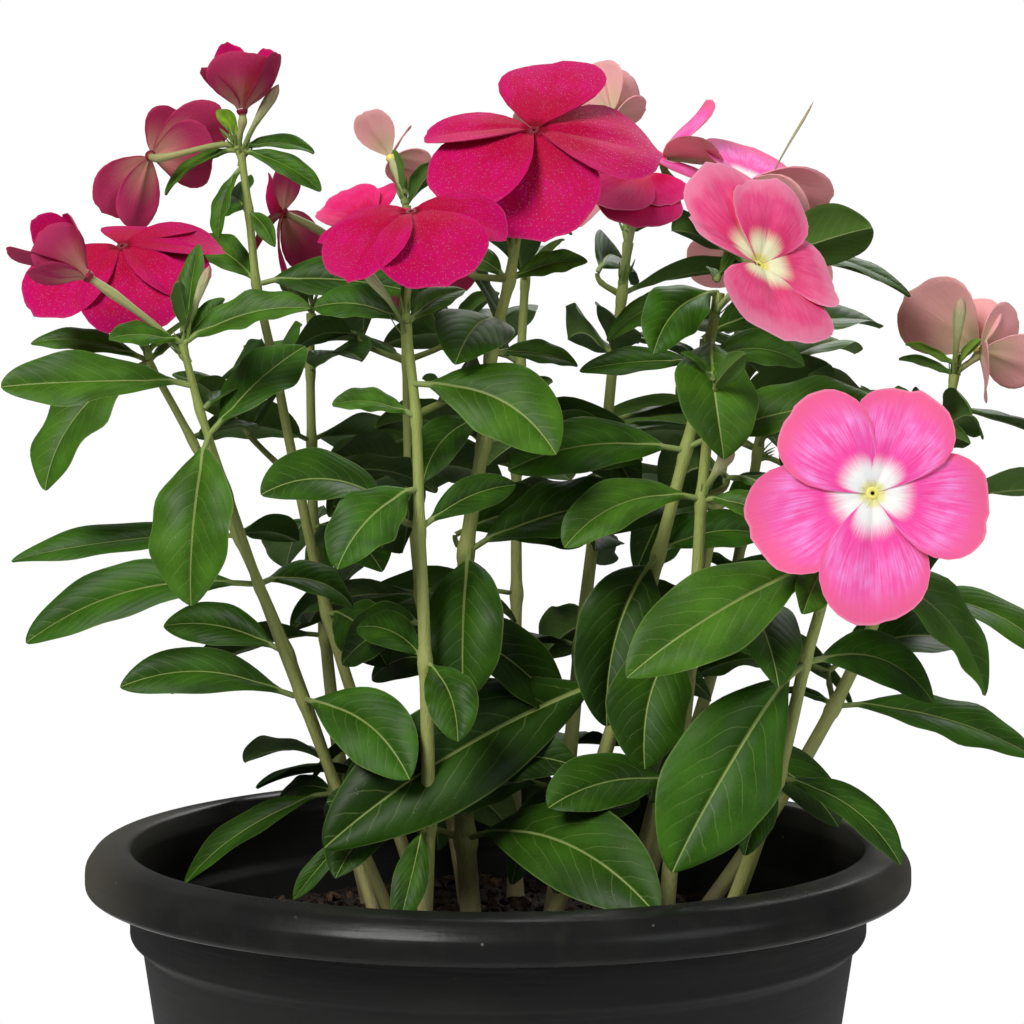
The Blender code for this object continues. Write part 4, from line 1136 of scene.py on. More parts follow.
ridge = 1 + 0.045 * np.cos(4 * np.arange(STEM_ROUND) * 2 * math.pi / STEM_ROUND)
ridges = np.tile(ridge, (STEM_STATIONS, 1))
stems = pipes("stems", np.array(routes), np.array(radii), STEM_ROUND, ridges)


def bark_finish(name, foot, middle, top, brown_to):
    """A stem's skin by its height: corky at the foot, then green, with pale flecks and streaks."""
    bark = Finish(name, Specular_IOR_Level=0.4)
    place = bark.own_map()
    high = bark.axis(place, "Y")
    streak = bark.noise(bark.stretch(place, (26.0, 60.0, 1.0)), 1.0, 3.0)
    patch = bark.noise(bark.stretch(place, (3.0, 16.0, 1.0)), 1.0, 3.0)
    fleck = bark.noise(bark.stretch(place, (40.0, 420.0, 1.0)), 1.0, 2.0)
    green = bark.mix(bark.between(high, 0.35, 1.0), middle, top)
    brown = 1.0 - bark.between(high + (patch - 0.5) * 0.35, 0.02, brown_to)
    colour = bark.mix(brown, green, foot)
    colour = bark.mix(bark.between(fleck, 0.58, 0.74) * 0.35, colour, (0.42, 0.40, 0.26))
    colour = bark.mix(bark.between(streak, 0.5, 0.8) * 0.30, colour, (0.10, 0.13, 0.03))
    rough = 0.40 + brown * 0.25 + streak * 0.12
    bark.cover(colour, rough, streak * 0.6 + fleck * 0.5 + patch * 0.5, 0.4 * MM)
    return bark


STEM_COLOURS = ((0.370, 0.310, 0.160), (0.380, 0.415, 0.125), (0.360, 0.440, 0.110), 0.22)
TWIG_COLOURS = ((0.24, 0.30, 0.07), (0.26, 0.34, 0.07), (0.28, 0.38, 0.08), 0.02)
finish_piece(stems, bark_finish("stem_skin", *STEM_COLOURS), ["stem_" + name for name in SHOOTS])
knee = 1 + 0.2 * np.exp(-((np.arange(TWIG_STATIONS) - 8) / 0.9) ** 2)
radii = np.tile(np.linspace(1.1, 0.7, TWIG_STATIONS) * TWIG_RADIUS * knee, (len(twigs), 1))
twig_piece = pipes("twigs", np.array(twigs), radii, 8)
finish_piece(twig_piece, bark_finish("twig_skin", *TWIG_COLOURS))


# Leaves. Oblong, glossy and a little leathery, on short stalks, with a pale midrib and fine veins
# that arch to the margin. Old ones are dark, young ones yellow-green, and the undersides dull;
# those inside the clump get darker tints as painted shade.
BLADE_STATIONS = 26
HALF_PLACES = np.array((0.08, 0.22, 0.42, 0.62, 0.8, 0.93, 1))
BLADE_PLACES = np.concatenate((-HALF_PLACES[::-1], (0,), HALF_PLACES))
BLADE_THICKNESS = 0.42 * MM
VEINS = 9

# The blades are drawn a little narrower than the space that they are given.
SLIMMER = 0.86

# Where a blade lies on its map: the middle and the half width of it, and where it starts and how
# far it runs along.
MAP_MIDDLE = 0.25
MAP_HALF = 0.23
MAP_START = 0.02
MAP_LENGTH = 0.46

# The blades' tints (red, green, blue), from the darkest, for old leaves and as painted shade inside the
# clump, to the growing tips.
LEAF_TINTS = {
    "deep": (0.016, 0.050, 0.002),
    "dark": (0.023, 0.073, 0.002),
    "mid": (0.029, 0.096, 0.003),
    "fresh": (0.044, 0.122, 0.006),
    "young": (0.160, 0.300, 0.015),
}
LEAF_PALE = (0.30, 0.38, 0.12)


def grid_faces(index):
    """The faces between the rows and columns of a grid of points."""
    corners = (index[:-1, :-1], index[:-1, 1:], index[1:, 1:], index[1:, :-1])
    return np.stack(corners, axis=-1).reshape(-1, 4)


def sheets(name, top, under, edges, along, cells, crease=60):
    """Closed thin blades: a top and an under grid (skin, station, place, xyz) that share their
    border. The map OFBake holds the top in its left half and the underside in its right half, and
    cells says which of two parts, low or high, each skin has."""
    skins, stations, places = top.shape[:3]
    inner = under[:, 1:-1, 1:-1].reshape(skins, -1, 3)
    points = np.concatenate((top.reshape(skins, -1, 3), inner), axis=1)
    upper = np.arange(stations * places).reshape(stations, places)
    lower = upper.copy()
    lower[1:-1, 1:-1] = upper.size + np.arange(inner.shape[1]).reshape(stations - 2, places - 2)
    turned_over = [0, 3, 2, 1]
    faces = np.vstack((grid_faces(upper), grid_faces(lower)[:, turned_over]))[None]
    faces = faces + points.shape[1] * np.arange(skins)[:, None, None]
    piece = new_piece(name, points.reshape(-1, 3), faces.reshape(-1, 4).tolist(), crease)
    u = MAP_MIDDLE + MAP_HALF * edges
    v = MAP_START + MAP_LENGTH * along
    grid = np.stack(np.broadcast_arrays(u[None, :], v[:, None]), axis=-1).reshape(-1, 2)
    back_map = grid[grid_faces(upper)[:, turned_over]] + (0.5, 0.0)
    both = np.concatenate((grid[grid_faces(upper)], back_map)).reshape(1, -1, 2)
    part = np.stack((np.zeros(skins), 0.5 * cells), axis=-1)[:, None]
    piece.data.uv_layers.new(name="OFBake").uv.foreach_set("vector", (both + part).ravel())
    return piece


def read_map(skin):
    """What sheets' map tells a material: the map itself, 1 on the underside, the place across
    (-1 to 1) and the place along (0 to 1)."""
    place = skin.own_map()
    u = skin.axis(place, "X")
    below = u.maths("GREATER_THAN", 0.5)
    across_it = (u - MAP_MIDDLE - below * 0.5) / MAP_HALF
    along = ((skin.axis(place, "Y") * 2.0).maths("FRACT") - 2 * MAP_START) / (2 * MAP_LENGTH)
    return place, below, across_it, along


def leaf_grids(grown, seed):
    """Top and under grids of leaves. Each follows its arc; the half width is a sine of the way
    along, raised to powers that set where it is widest and how blunt it is. The two halves fold up
    from the midrib, belly out, and ripple towards the margin; the midrib is a keel below."""
    chance = np.random.default_rng(seed)
    count = len(grown)

    def each(low, high):
        return chance.uniform(low, high, count)[:, None, None]

    parts = ("root", "ahead", "up", "length", "start", "bend")
    stacks = (np.array([getattr(row[0], part) for row in grown])[:, None, None] for part in parts)
    root, ahead, up, length, start, bend = stacks
    width, roll = (np.array([row[place] for row in grown])[:, None, None] for place in (1, 2))
    stalk = np.linspace(0, STALK_SHARE, 4)[:-1]
    blade = 1 - (1 - np.linspace(0, 1, BLADE_STATIONS)) ** 1.45
    share = np.concatenate((stalk, STALK_SHARE + (1 - STALK_SHARE) * blade))
    b = np.clip((share - STALK_SHARE) / (1 - STALK_SHARE), 0, 1)[None, :, None]
    t = BLADE_PLACES[None, None, :]
    share = share[None, :, None]
    outline = 0.5 * np.sin(math.pi * b ** each(1.0, 1.28)) ** each(0.60, 0.74)
    ragged = 1 + each(0.0, 0.05) * np.sin(2 * math.pi * (each(1.5, 3.5) * b + each(0, 1)) + np.sign(t))
    half = np.maximum(outline * ragged * SLIMMER * width * length, STALK_RADIUS * (1 - 0.92 * b ** 3))
    angle = start - bend * share
    run = (np.sin(start) - np.sin(angle)) / bend
    lift = (np.cos(angle) - np.cos(start)) / bend
    centre = root + (length * run)[..., None] * ahead + (length * lift)[..., None] * up
    normal = np.cos(angle)[..., None] * up - np.sin(angle)[..., None] * ahead
    beside = np.cross(ahead, up)
    turn = (roll + each(-0.3, 0.3) * (b - 0.4))[..., None]
    side = np.cos(turn) * beside + np.sin(turn) * normal
    over = np.cos(turn) * normal - np.sin(turn) * beside
    size = np.abs(t)
    open_up = np.clip(b / 0.16, 0, 1) ** 1.5
    fold = half * each(0.02, 0.24) * size ** 1.2
    belly = half * each(0.10, 0.34) * size * (1 - size) * 2
    ripple = half * each(0.03, 0.13) * size ** 2
    ripple = ripple * np.sin(2 * math.pi * (each(1.6, 3.2) * b + each(0, 1)) + 2.0 * np.sign(t))
    groove = -0.35 * MM * np.exp(-(t * half / (0.7 * MM)) ** 2) * (1 - 0.6 * b)
    flat = (fold + belly + ripple * np.sin(math.pi * b) + groove) * open_up
    sway = length * each(-0.045, 0.045) * np.sin(math.pi * b)
    curl = -length * each(-0.02, 0.05) * b ** 3
    round_it = STALK_RADIUS * np.sqrt(np.clip(1 - t ** 2, 0, 1)) * (1 - open_up)
    keel = (STALK_RADIUS * 1.1 * (1 - 0.8 * b)) * np.exp(-(t * half / (0.8 * MM)) ** 2) * open_up
    depth = BLADE_THICKNESS * (1 - 0.5 * size) * open_up
    middle = centre + side * (half * t + sway)[..., None]
    top = middle + over * (flat + curl + round_it)[..., None]
    under = middle + over * (flat + curl - round_it - keel - depth)[..., None]
    return top, under, share[0, :, 0]


def leaf_finish(name, tint):
    """A leaf by its own map: its place across (0 is the midrib, 1 the margin) and along it."""
    skin = Finish(name, Specular_IOR_Level=0.19)
    place, below, across_it, share = read_map(skin)
    b = ((share - STALK_SHARE) / (1 - STALK_SHARE)).maths("MAXIMUM", 0.0)
    left = across_it.maths("LESS_THAN", 0.0)
    size = across_it.maths("ABSOLUTE")
    wide = ((b ** 1.12) * math.pi).maths("SINE").maths("MAXIMUM", 0.02) ** 0.68
    out = size * wide
    flow = skin.stretch(place, (30.0, 60.0, 1.0))
    wobble = skin.noise(flow, 0.32, 2.0)
    rib = 1.0 - skin.between(out, 0.018 - b * 0.010, 0.056 - b * 0.036)
    rib = (rib + (1.0 - skin.between(share, 0.08, 0.15))).maths("MINIMUM", 1.0)
    lines = (b - out * 0.20 - out * out * 0.24 + (wobble - 0.5) * 0.06) * VEINS + left * 0.5
    away = (lines.maths("FRACT") - 0.5).maths("ABSOLUTE")
    fade = (1.0 - skin.between(size, 0.45, 0.88)) * skin.between(b, 0.02, 0.1)
    vein = (1.0 - skin.between(away, 0.006, 0.050)) * fade
    pillow = skin.between(away, 0.0, 0.40)
    broad = skin.noise(flow, 0.12, 2.0)
    fine = skin.noise(flow, 2.6, 3.0)
    light = tuple(part * 1.45 for part in tint)
    shade = tuple(part * 0.70 for part in tint)
    colour = skin.mix(skin.between(broad + (fine - 0.5) * 0.25, 0.30, 0.72), shade, light)
    colour = skin.mix(vein * 0.20, colour, LEAF_PALE)
    colour = skin.mix(rib * 0.80, colour, LEAF_PALE)
    colour = skin.mix(skin.between(size, 0.955, 0.99) * 0.22, colour, LEAF_PALE)
    # Water drops: smoother and raised, and painted paler where they would glint: a painted highlight.
    specks_and_glint = 1.0 - skin.between(skin.cells(flow, 1.9), 0.10, 0.17)
    specks_and_glint = specks_and_glint * skin.between(skin.noise(flow, 0.16), 0.56, 0.68)
    dull = tuple(part * 0.75 + add for part, add in zip(tint, (0.045, 0.065, 0.022)))
    back = skin.mix(rib * 0.8 + vein * 0.25, dull, (0.26, 0.32, 0.12))
    colour = skin.mix(below, skin.mix(specks_and_glint * 0.35, colour, (0.45, 0.52, 0.42)), back)
    gloss = 0.40 + fine * 0.14 + skin.between(broad, 0.4, 0.7) * 0.10 - specks_and_glint * 0.15
    bulge = pillow * 0.45 - rib * 0.6 + fine * 0.10 + specks_and_glint * 0.25
    skin.cover(colour, gloss + below * 0.22, bulge * (1.0 - below * 1.6), 0.08 * MM)
    return skin


def leaf_tint(row, chance):
    """Which tint a leaf has: darkest low down, where it is old, and, as painted shade, inside the clump;
    yellow-green when it is young.
    """
    arc, _, _, height, place = row
    if height > 1.1:
        return "young" if chance.random() < 0.45 else "fresh"
    tip = arc.point(1.0)
    # The further out of the clump a tip lies, the lighter its tint: painted shade inside the clump.
    outside = np.linalg.norm((tip - CLUMP_CENTRE)[:2]) / (90 * MM)
    tone_by_age_and_shade = height * 0.9 + outside * 0.55 + chance.uniform(-0.35, 0.35)
    # Sprays lie inside the clump, so their tints are kept dark: painted shade.
    if place[2] == "spray":
        tone_by_age_and_shade = min(tone_by_age_and_shade, 0.8) - 0.25
    elif arc.length < 22 * MM:
        tone_by_age_and_shade += 0.35
    names = ("deep", "dark", "mid", "fresh")
    return names[int(np.clip((tone_by_age_and_shade - 0.1) / 0.36, 0, 3))]


deal = random.Random(41)
dealt = {tint: [] for tint in LEAF_TINTS}
for row in leaves:
    dealt[leaf_tint(row, deal)].append(row)
masses = ["shoot_" + name for name in SHOOTS]
for number, (tint, rows) in enumerate(dealt.items()):
    top, under, along = leaf_grids(rows, 60 + number)
    piece = sheets("leaves_" + tint, top, under, BLADE_PLACES, along, np.arange(len(rows)) % 2)
    finish = leaf_finish("leaf_" + tint, LEAF_TINTS[tint])
    finish_piece(piece, finish, masses if tint == "mid" else ())


# Blooms. Five broad petals overlap like the blades of a fan round a small eye, and join below in a
# slender tube, which stands in a calyx of five narrow sepals. Petals are thin and velvety, and
# their undersides paler.
PETAL_ROWS = 14
PETAL_PLACES = np.sin(np.linspace(-1, 1, 25) * math.pi / 2)
PETAL_SPREAD = 42
THROAT = 0.045
PETAL_SKIN = 0.3 * MM
PETAL_WIDTH = 0.9
BLOOM_KINDS = {
    "crimson": ("top_crimson", "low_crimson", "left_crimson", "tall_crimson", "cup_high", "cup_left",
                "side_magenta", "rear_left_crimson"),
    "pink": ("main_pink", "high_pink", "flat_pink", "rear_pink", "rear_right_pink", "rear_low_pink"),
    "salmon": ("salmon",),
    "rosy": ("rosy_back", "low_pink"),
    "pale": ("pale_back", "pale_high", "far_pink"),
}


# Blooms that stand out singly: where the throat lies (mm), the heading and rise of the way it
# faces and, petal by petal, where the tip lies from the throat (x, y, z in mm), the angle that the
# petal bends through, its width as a share of its length, and its turn about its own middle.
POSED_PETALS = {
    "top_crimson": ((7.8, -37, 318.7), (262, 50), (
        (6.5, 17, 17.1, 15, 0.9, 0), (26.2, 3, -5.5, 30, 0.98, 0), (2.1, -10, -23.9, 40, 0.96, 0),
        (-17.8, -8, -16.2, 36, 0.86, 0), (-23.2, 6, -0.7, 22, 0.66, -12))),
    "low_crimson": ((-17.8, -57, 299), (255, 60), (
        (-18.5, 4, -6.4, 38, 0.6, 0), (-12.2, -10, -15.1, 50, 0.8, 0), (7.7, -13, -15.6, 50, 1, 0),
        (19.7, 0, -4.5, 35, 0.7, -14), (0.9, 14, 1.6, 20, 0.8, 0))),
    "left_crimson": ((-85, -14, 296), (262, 54), (
        (-17.4, -8, -16.3, 45, 0.85, 0), (8, -13, -20.8, 50, 0.9, 0), (19, -4, -11.4, 45, 0.8, 0),
        (20.8, 8, 0.4, 30, 0.72, 0), (6.4, 20, 5.5, 25, 1, 0))),
    "tall_crimson": ((-84.3, 22, 320.9), (110, 20), (
        (-12.1, 3, -13.1, 35, 0.72, 0), (-5.1, 3, -16.7, 25, 0.55, 0), (15.4, -2, -0.4, 30, 1, 0),
        (17.8, 2, 9.1, 25, 0.62, 0), (6.4, 3, 10.7, 20, 0.85, 0))),
    "cup_high": ((-60.9, 12, 330.6), (200, 84), (
        (-8.7, -5, 8.6, 10, 0.7, 0), (0.9, -8, 11.9, -30, 1.05, 0), (8.6, -1, 12, -35, 1.05, 0),
        (4.8, 6, 14.9, -35, 0.7, 0), (-4, 5, 15.7, -25, 0.5, 0))),
    "cup_left": ((-85.5, -53, 286), (190, 35), (
        (-15.1, -4, 4.4, 8, 0.62, 0), (-10.7, -6, 0.5, -25, 0.7, 0), (-8, -6, 7.8, -30, 0.9, 0),
        (-4.6, 1, 12.3, -35, 0.75, 0), (-11.5, 4, 11.4, -35, 0.6, 0))),
    "high_pink": ((39.2, 20, 320), (110, 70), (
        (11.6, 6, 14.1, -10, 0.75, -25), (12.8, -8, 0.8, 12, 1.15, 0), (6.2, -10, -6, 20, 1, 0),
        (-4.8, 5, 2.6, 20, 0.85, 0), (-4.1, -4, -4.6, 20, 0.85, 0))),
    "flat_pink": ((58.8, 16, 313.9), (60, 50), (
        (20.3, 4, -4.7, 25, 0.72, 0), (3.6, 15, 9.5, 10, 1.25, 0), (-9.8, -2, 7, 10, 0.85, 52),
        (14.5, -8, -10.3, 25, 0.75, 0), (-0.6, -8, -8.6, 20, 0.9, 0))),
    "low_pink": ((34.5, 10, 315.6), (280, 45), (
        (5.6, -8, -8.4, 20, 0.95, 0), (-2.6, -12, -14.4, 25, 1, 0), (-12.4, -14, -9.1, 25, 0.9, 0),
        (-1.3, 12, 6.6, 15, 0.9, 0), (-10.4, 2, -0.9, 15, 0.9, 0))),
    "pale_high": ((28.2, 40, 333), (80, 38), (
        (-5, 6, 13.3, 20, 0.85, 0), (5.5, 9, 10.8, 20, 0.8, 0), (8.4, 5, 2.4, 20, 0.8, 0),
        (-3.2, -6, -9.2, 20, 0.85, 0), (-7.4, -4, -2, 20, 0.85, 0))),
    "far_pink": ((118.4, 32, 274.4), (70, 35), (
        (-17.1, 4, 13.6, 25, 1, 0), (0.2, 8, 12.9, 20, 0.85, 0), (11.2, 6, 7.2, 25, 0.95, 0),
        (14.8, 0, -5.4, 25, 0.95, 0), (-1.3, -14, -9.8, 20, 0.9, 0))),
    "salmon": ((56, -42, 289.3), (309, 40), (
        (-10.3, 8, 20.5, 12, 0.84, 12), (4.4, 13, 18.1, 18, 0.8, 0), (16.6, 6, -3.9, 30, 1.12, 0),
        (3.1, -17, -16.3, 35, 1.08, 0), (-15.5, -6, 8.4, 10, 0.6, -18))),
    "main_pink": ((75, -74, 241), (270, 6), (
        (-15.2, 1, 16.9, 12, 0.82, 0), (9.4, 1, 19.7, 12, 0.86, 0), (23.4, 0, -4, 15, 0.86, 0),
        (0.5, -1, -24.9, 15, 0.86, 0), (-24, 1, -8.9, 12, 0.84, 0))),
    "side_magenta": ((-54.3, 40, 309.2), (180, 25), (
        (1.5, 0, 11.5, -10, 0.6, 60), (-5.1, 12, 7.7, 10, 0.7, 20), (-7.1, -6, -13, 40, 0.85, 0),
        (1.9, -2, -17.9, 45, 0.85, 0), (7.7, 12, -10.4, 30, 0.8, 0))),
    "rosy_back": ((-34.4, 62, 307.5), (220, 60), (
        (-13.3, 2, 4.3, 25, 0.9, 0), (-7.2, 8, 10.2, 15, 1, 0), (0.8, 12, 11.2, 15, 0.9, 0),
        (8.6, 4, 0.9, 20, 0.85, 0), (1.5, -8, -10.1, 20, 0.85, 0))),
    "pale_back": ((-28.3, 60, 325.6), (110, 45), (
        (-6.3, -4, 10.7, 12, 0.72, 0), (10, 4, -1, 20, 0.6, 0), (3, 12, 7.1, 10, 0.7, 0),
        (1.5, 6, -5.2, 20, 0.6, 0), (5.5, 10, -5.8, 20, 0.6, 0))),
}


def bloom_heart(name):
    """Where a bloom's throat lies, and the way that it faces."""
    if name in POSED_PETALS:
        centre, faces, _ = POSED_PETALS[name]
    else:
        _, _, centre, faces, *_ = BLOOMS[name]
    return np.array(centre) * MM, faces


def petal_arcs(name):
    """The arcs of a bloom's five petals, each with its width and its turn: posed ones reach their
    own tips, the others leave the throat at the bloom's lean and bend back."""
    centre, faces = bloom_heart(name)
    facing = direction(*faces)
    if name in POSED_PETALS:
        for x, y, z, bend, width, roll in POSED_PETALS[name][2]:
            arc = reach_arc(centre, np.array((x, y, z)) * MM, bend, facing)
            yield arc, width, math.radians(roll)
        return
    _, _, _, _, across_it, lean, bend, turn = BLOOMS[name]
    side, up = across(facing)
    for number in range(PETALS):
        angle = math.radians(turn + number * 360 / PETALS)
        outward = side * math.cos(angle) + up * math.sin(angle)
        droop = bend * (1 - DROOP * outward[2])
        root = centre - facing * PETAL_THICKNESS
        yield Arc(root, outward, facing, across_it * MM / 2, 90 - lean, droop), PETAL_WIDTH, 0.0


def petal_grids(names, seed):
    """Top and under grids of the petals. In its own plane each is a fan, PETAL_SPREAD degrees to
    either side, whose reach is a blunt curve of the place across, and the plane follows the petal's
    arc. It tilts about its middle, so that one side lies over the next petal, creases there, cups,
    and ripples outwards."""
    chance = np.random.default_rng(seed)
    q = PETAL_PLACES[None, :]
    r = np.linspace(0, 1, PETAL_ROWS)[:, None] ** 0.9
    tops = []
    unders = []
    for name in names:
        for arc, width, roll in petal_arcs(name):
            least = (0.012, 0.010, 0, 0.01, -0.02)
            most = (0.026, 0.040, 6.3, 0.045, 0.05)
            tilt, wave, phase, crease, cup = chance.uniform(least, most)
            longer, blunt = chance.uniform((0.98, 3.6), (1.05, 6.0))
            edge = 1 + 0.010 * np.sin(7 * q + phase) + 0.007 * np.sin(15 * q + 2 * phase)
            edge = edge + 0.022 * np.exp(-(q / 0.06) ** 2)
            reach = (1 - np.abs(q) ** blunt) ** 0.476 * longer * edge * (1 + 0.04 * q)
            rho = THROAT + r * (np.maximum(reach, THROAT + 0.01) - THROAT)
            angle = np.radians(q * PETAL_SPREAD)
            ahead_by = (rho * np.cos(angle))[..., None]
            aside = rho * np.sin(angle) * width * (1.50 - 0.50 * rho ** 2)
            normal = arc.normal(ahead_by)
            beside = np.cross(arc.ahead, arc.up)
            side = math.cos(roll) * beside + math.sin(roll) * normal
            over = math.cos(roll) * normal - math.sin(roll) * beside
            bump = tilt * q * rho + wave * rho ** 2 * np.sin(4.2 * q + phase) + cup * q ** 2 * rho
            bump = bump - crease * np.exp(-(q / 0.16) ** 2) * np.sin(math.pi * np.minimum(rho, 1))
            bump = bump * arc.length - 1.0 * MM * np.exp(-(rho * arc.length / (1.5 * MM)) ** 2)
            place = arc.point(ahead_by)
            place = place + side * (aside * arc.length)[..., None] + over * bump[..., None]
            tops.append(place + over * PETAL_SKIN / 2)
            unders.append(place - over * PETAL_SKIN / 2)
    return np.array(tops), np.array(unders), r[:, 0]


def petal_finish(name, body, light, deep, rim, eye, eye_reach, heart, back, back_foot, speck_glint_share):
    """A petal by its own map: streaked along, with an eye at the throat, a deeper zone round it,
    and a paler margin. The underside fades from its foot."""
    skin = Finish(name, Specular_IOR_Level=0.1, Subsurface_Weight=0.12, Subsurface_Scale=0.0012)
    place, below, q, r = read_map(skin)
    size = q.maths("ABSOLUTE")
    streak = skin.noise(skin.stretch(place, (130.0, 5.0, 1.0)), 1.0, 3.0)
    broad = skin.noise(skin.stretch(place, (22.0, 10.0, 1.0)), 1.0, 2.0)
    flow = skin.stretch(place, (50.0, 46.0, 1.0))
    grain = skin.noise(flow, 3.4, 2.0)
    patch = skin.between(streak * 0.6 + broad * 0.5, 0.42, 0.74)
    patch = patch * (1.0 - skin.between(r, 0.62, 0.92) * 0.8)
    colour = skin.mix(patch, body, light)
    zone = 1.0 - skin.between(r + (streak - 0.5) * 0.22, 0.30, 0.68)
    colour = skin.mix(zone * 0.85, colour, deep)
    colour = skin.mix(skin.between(r + (broad - 0.5) * 0.3, 0.68, 0.98) * 0.85, colour, rim)
    far = r + (streak - 0.5) * 0.14 + size * size * 0.06
    colour = skin.mix(1.0 - skin.between(far, eye_reach * 0.55, eye_reach * 1.3), colour, eye)
    colour = skin.mix(1.0 - skin.between(r, 0.03, 0.10), colour, heart)
    # Sparkling specks: smoother and raised, and painted in a paler tint of the margin: painted glints.
    specks_and_glint = 1.0 - skin.between(skin.cells(flow, 2.3), 0.08, 0.30)
    specks_and_glint = specks_and_glint * skin.between(skin.noise(flow, 0.5), 0.30, 0.52) * speck_glint_share
    colour = skin.mix(specks_and_glint * 0.50, colour, tuple(0.3 + 0.7 * part for part in rim))
    hem = skin.between(r, 0.965, 0.995) * (0.45 - speck_glint_share * 0.4)
    colour = skin.mix(hem, colour, tuple(0.35 + 0.65 * part for part in rim))
    under = skin.mix(skin.between(r + (streak - 0.5) * 0.3, 0.05, 0.75), back_foot, back)
    rough = 0.55 + grain * 0.16 - specks_and_glint * 0.28
    relief = streak * 0.45 + grain * 0.22 + specks_and_glint * 0.55
    skin.cover(skin.mix(below, colour, under), rough, relief, 0.18 * MM)
    return skin


# Each kind's body, its lighter streaks, the deeper zone round the eye, the margin, the eye and how
# far it reaches, the throat, the underside and its foot, and how many specks it has, painted paler as glints.
PETAL_COLOURS = {
    "crimson": ((0.51, 0.0, 0.070), (0.60, 0.0, 0.15), (0.44, 0.0, 0.035), (0.56, 0.0, 0.13),
                (0.25, 0.0, 0.015), 0.07, (0.25, 0.0, 0.015), (0.46, 0.033, 0.12), (0.60, 0.27, 0.21), 1.0),
    "pink": ((1.0, 0.12, 0.46), (1.0, 0.34, 0.80), (1.0, 0.055, 0.38), (0.95, 0.14, 0.31),
             (0.99, 0.98, 0.97), 0.285, (0.90, 0.84, 0.35), (0.86, 0.40, 0.42), (0.60, 0.52, 0.32), 0.3),
    "salmon": ((0.86, 0.070, 0.24), (0.90, 0.13, 0.30), (0.74, 0.025, 0.15), (0.92, 0.26, 0.42),
               (0.90, 0.85, 0.55), 0.32, (0.80, 0.70, 0.20), (0.84, 0.38, 0.40), (0.60, 0.52, 0.34), 0.3),
    "rosy": ((0.88, 0.015, 0.17), (0.92, 0.05, 0.24), (0.72, 0.002, 0.07), (0.90, 0.05, 0.24),
             (0.70, 0.01, 0.08), 0.08, (0.60, 0.05, 0.08), (0.62, 0.19, 0.19), (0.48, 0.36, 0.20), 0.1),
    "pale": ((0.88, 0.42, 0.43), (0.92, 0.58, 0.55), (0.78, 0.34, 0.34), (0.90, 0.46, 0.50),
             (0.66, 0.60, 0.38), 0.15, (0.66, 0.60, 0.38), (0.86, 0.42, 0.42), (0.62, 0.48, 0.30), 0.1),
}
for number, (kind, names) in enumerate(BLOOM_KINDS.items()):
    top, under, along = petal_grids(names, 80 + number)
    piece = sheets("petals_" + kind, top, under, PETAL_PLACES, along, np.arange(len(top)) % 2)
    finish_piece(piece, petal_finish("petal_" + kind, *PETAL_COLOURS[kind]))


# Tubes. Each runs from the axil through its calyx to the throat, where it turns in as a small lip
# round the mouth.
TUBE_STATIONS = 30
LIP_ROWS = ((1.2, 0.5), (1.4, 1.15), (1.2, 1.4), (0.75, 1.42), (0.36, 1.25), (0.3, 0.4), (0.2, -1.2))


def tube_routes(names):
    """The tubes' centres and radii (mm): slender, swollen under the throat, then the lip's rows,
    each a radius and a height past the throat."""
    routes = []
    radii = []
    for name in names:
        owner, share, *_ = BLOOMS[name]
        centre, faces = bloom_heart(name)
        facing = direction(*faces)
        route = bloom_route(SHOOTS[owner], share, centre / MM - facing * 1.6, faces, TUBE_STATIONS)
        lip = route[-1] + facing * np.array([height for _, height in LIP_ROWS])[:, None] * MM
        along = np.linspace(0, 1, TUBE_STATIONS)
        low = np.exp(-((along - 0.1) / 0.05) ** 2)
        high = np.exp(-((along - 0.84) / 0.12) ** 2)
        body = 0.75 + 0.35 * low + 0.35 * high
        routes.append(np.concatenate((route, lip)))
        radii.append(np.concatenate((body, [radius for radius, _ in LIP_ROWS])) * MM)
    return np.array(routes), np.array(radii)


def tube_finish(name, foot, body, lip, mouth_shade):
    """A tube by the way along it, with fine streaks."""
    skin = Finish(name, Specular_IOR_Level=0.4)
    place = skin.own_map()
    high = skin.axis(place, "Y")
    streak = skin.noise(skin.stretch(place, (24.0, 9.0, 1.0)), 1.0, 3.0)
    colour = skin.mix(skin.between(high + (streak - 0.5) * 0.1, 0.08, 0.55), foot, body)
    colour = skin.mix(skin.between(high, 0.78, 0.83), colour, lip)
    # The mouth, where the lip turns down into the tube, is painted near black: painted shade.
    colour = skin.mix(skin.between(high, 0.925, 0.955), colour, mouth_shade)
    skin.cover(colour, 0.45 + streak * 0.15, streak, 0.2 * MM)
    return skin


# The foot, the body, the lip and the mouth, whose near black is painted shade down the tube.
TUBE_COLOURS = {
    "crimson": ((0.26, 0.34, 0.08), (0.38, 0.38, 0.15), (0.22, 0.002, 0.02), (0.05, 0.0, 0.004)),
    "light": ((0.24, 0.34, 0.08), (0.46, 0.50, 0.24), (0.90, 0.82, 0.20), (0.10, 0.10, 0.01)),
}
LIGHT_BLOOMS = [name for kind, names in BLOOM_KINDS.items() if kind != "crimson" for name in names]
for kind, names in (("crimson", BLOOM_KINDS["crimson"]), ("light", LIGHT_BLOOMS)):
    routes, radii = tube_routes(names)
    piece = pipes("tubes_" + kind, routes, radii, 12)
    finish_piece(piece, tube_finish("tube_" + kind, *TUBE_COLOURS[kind]))


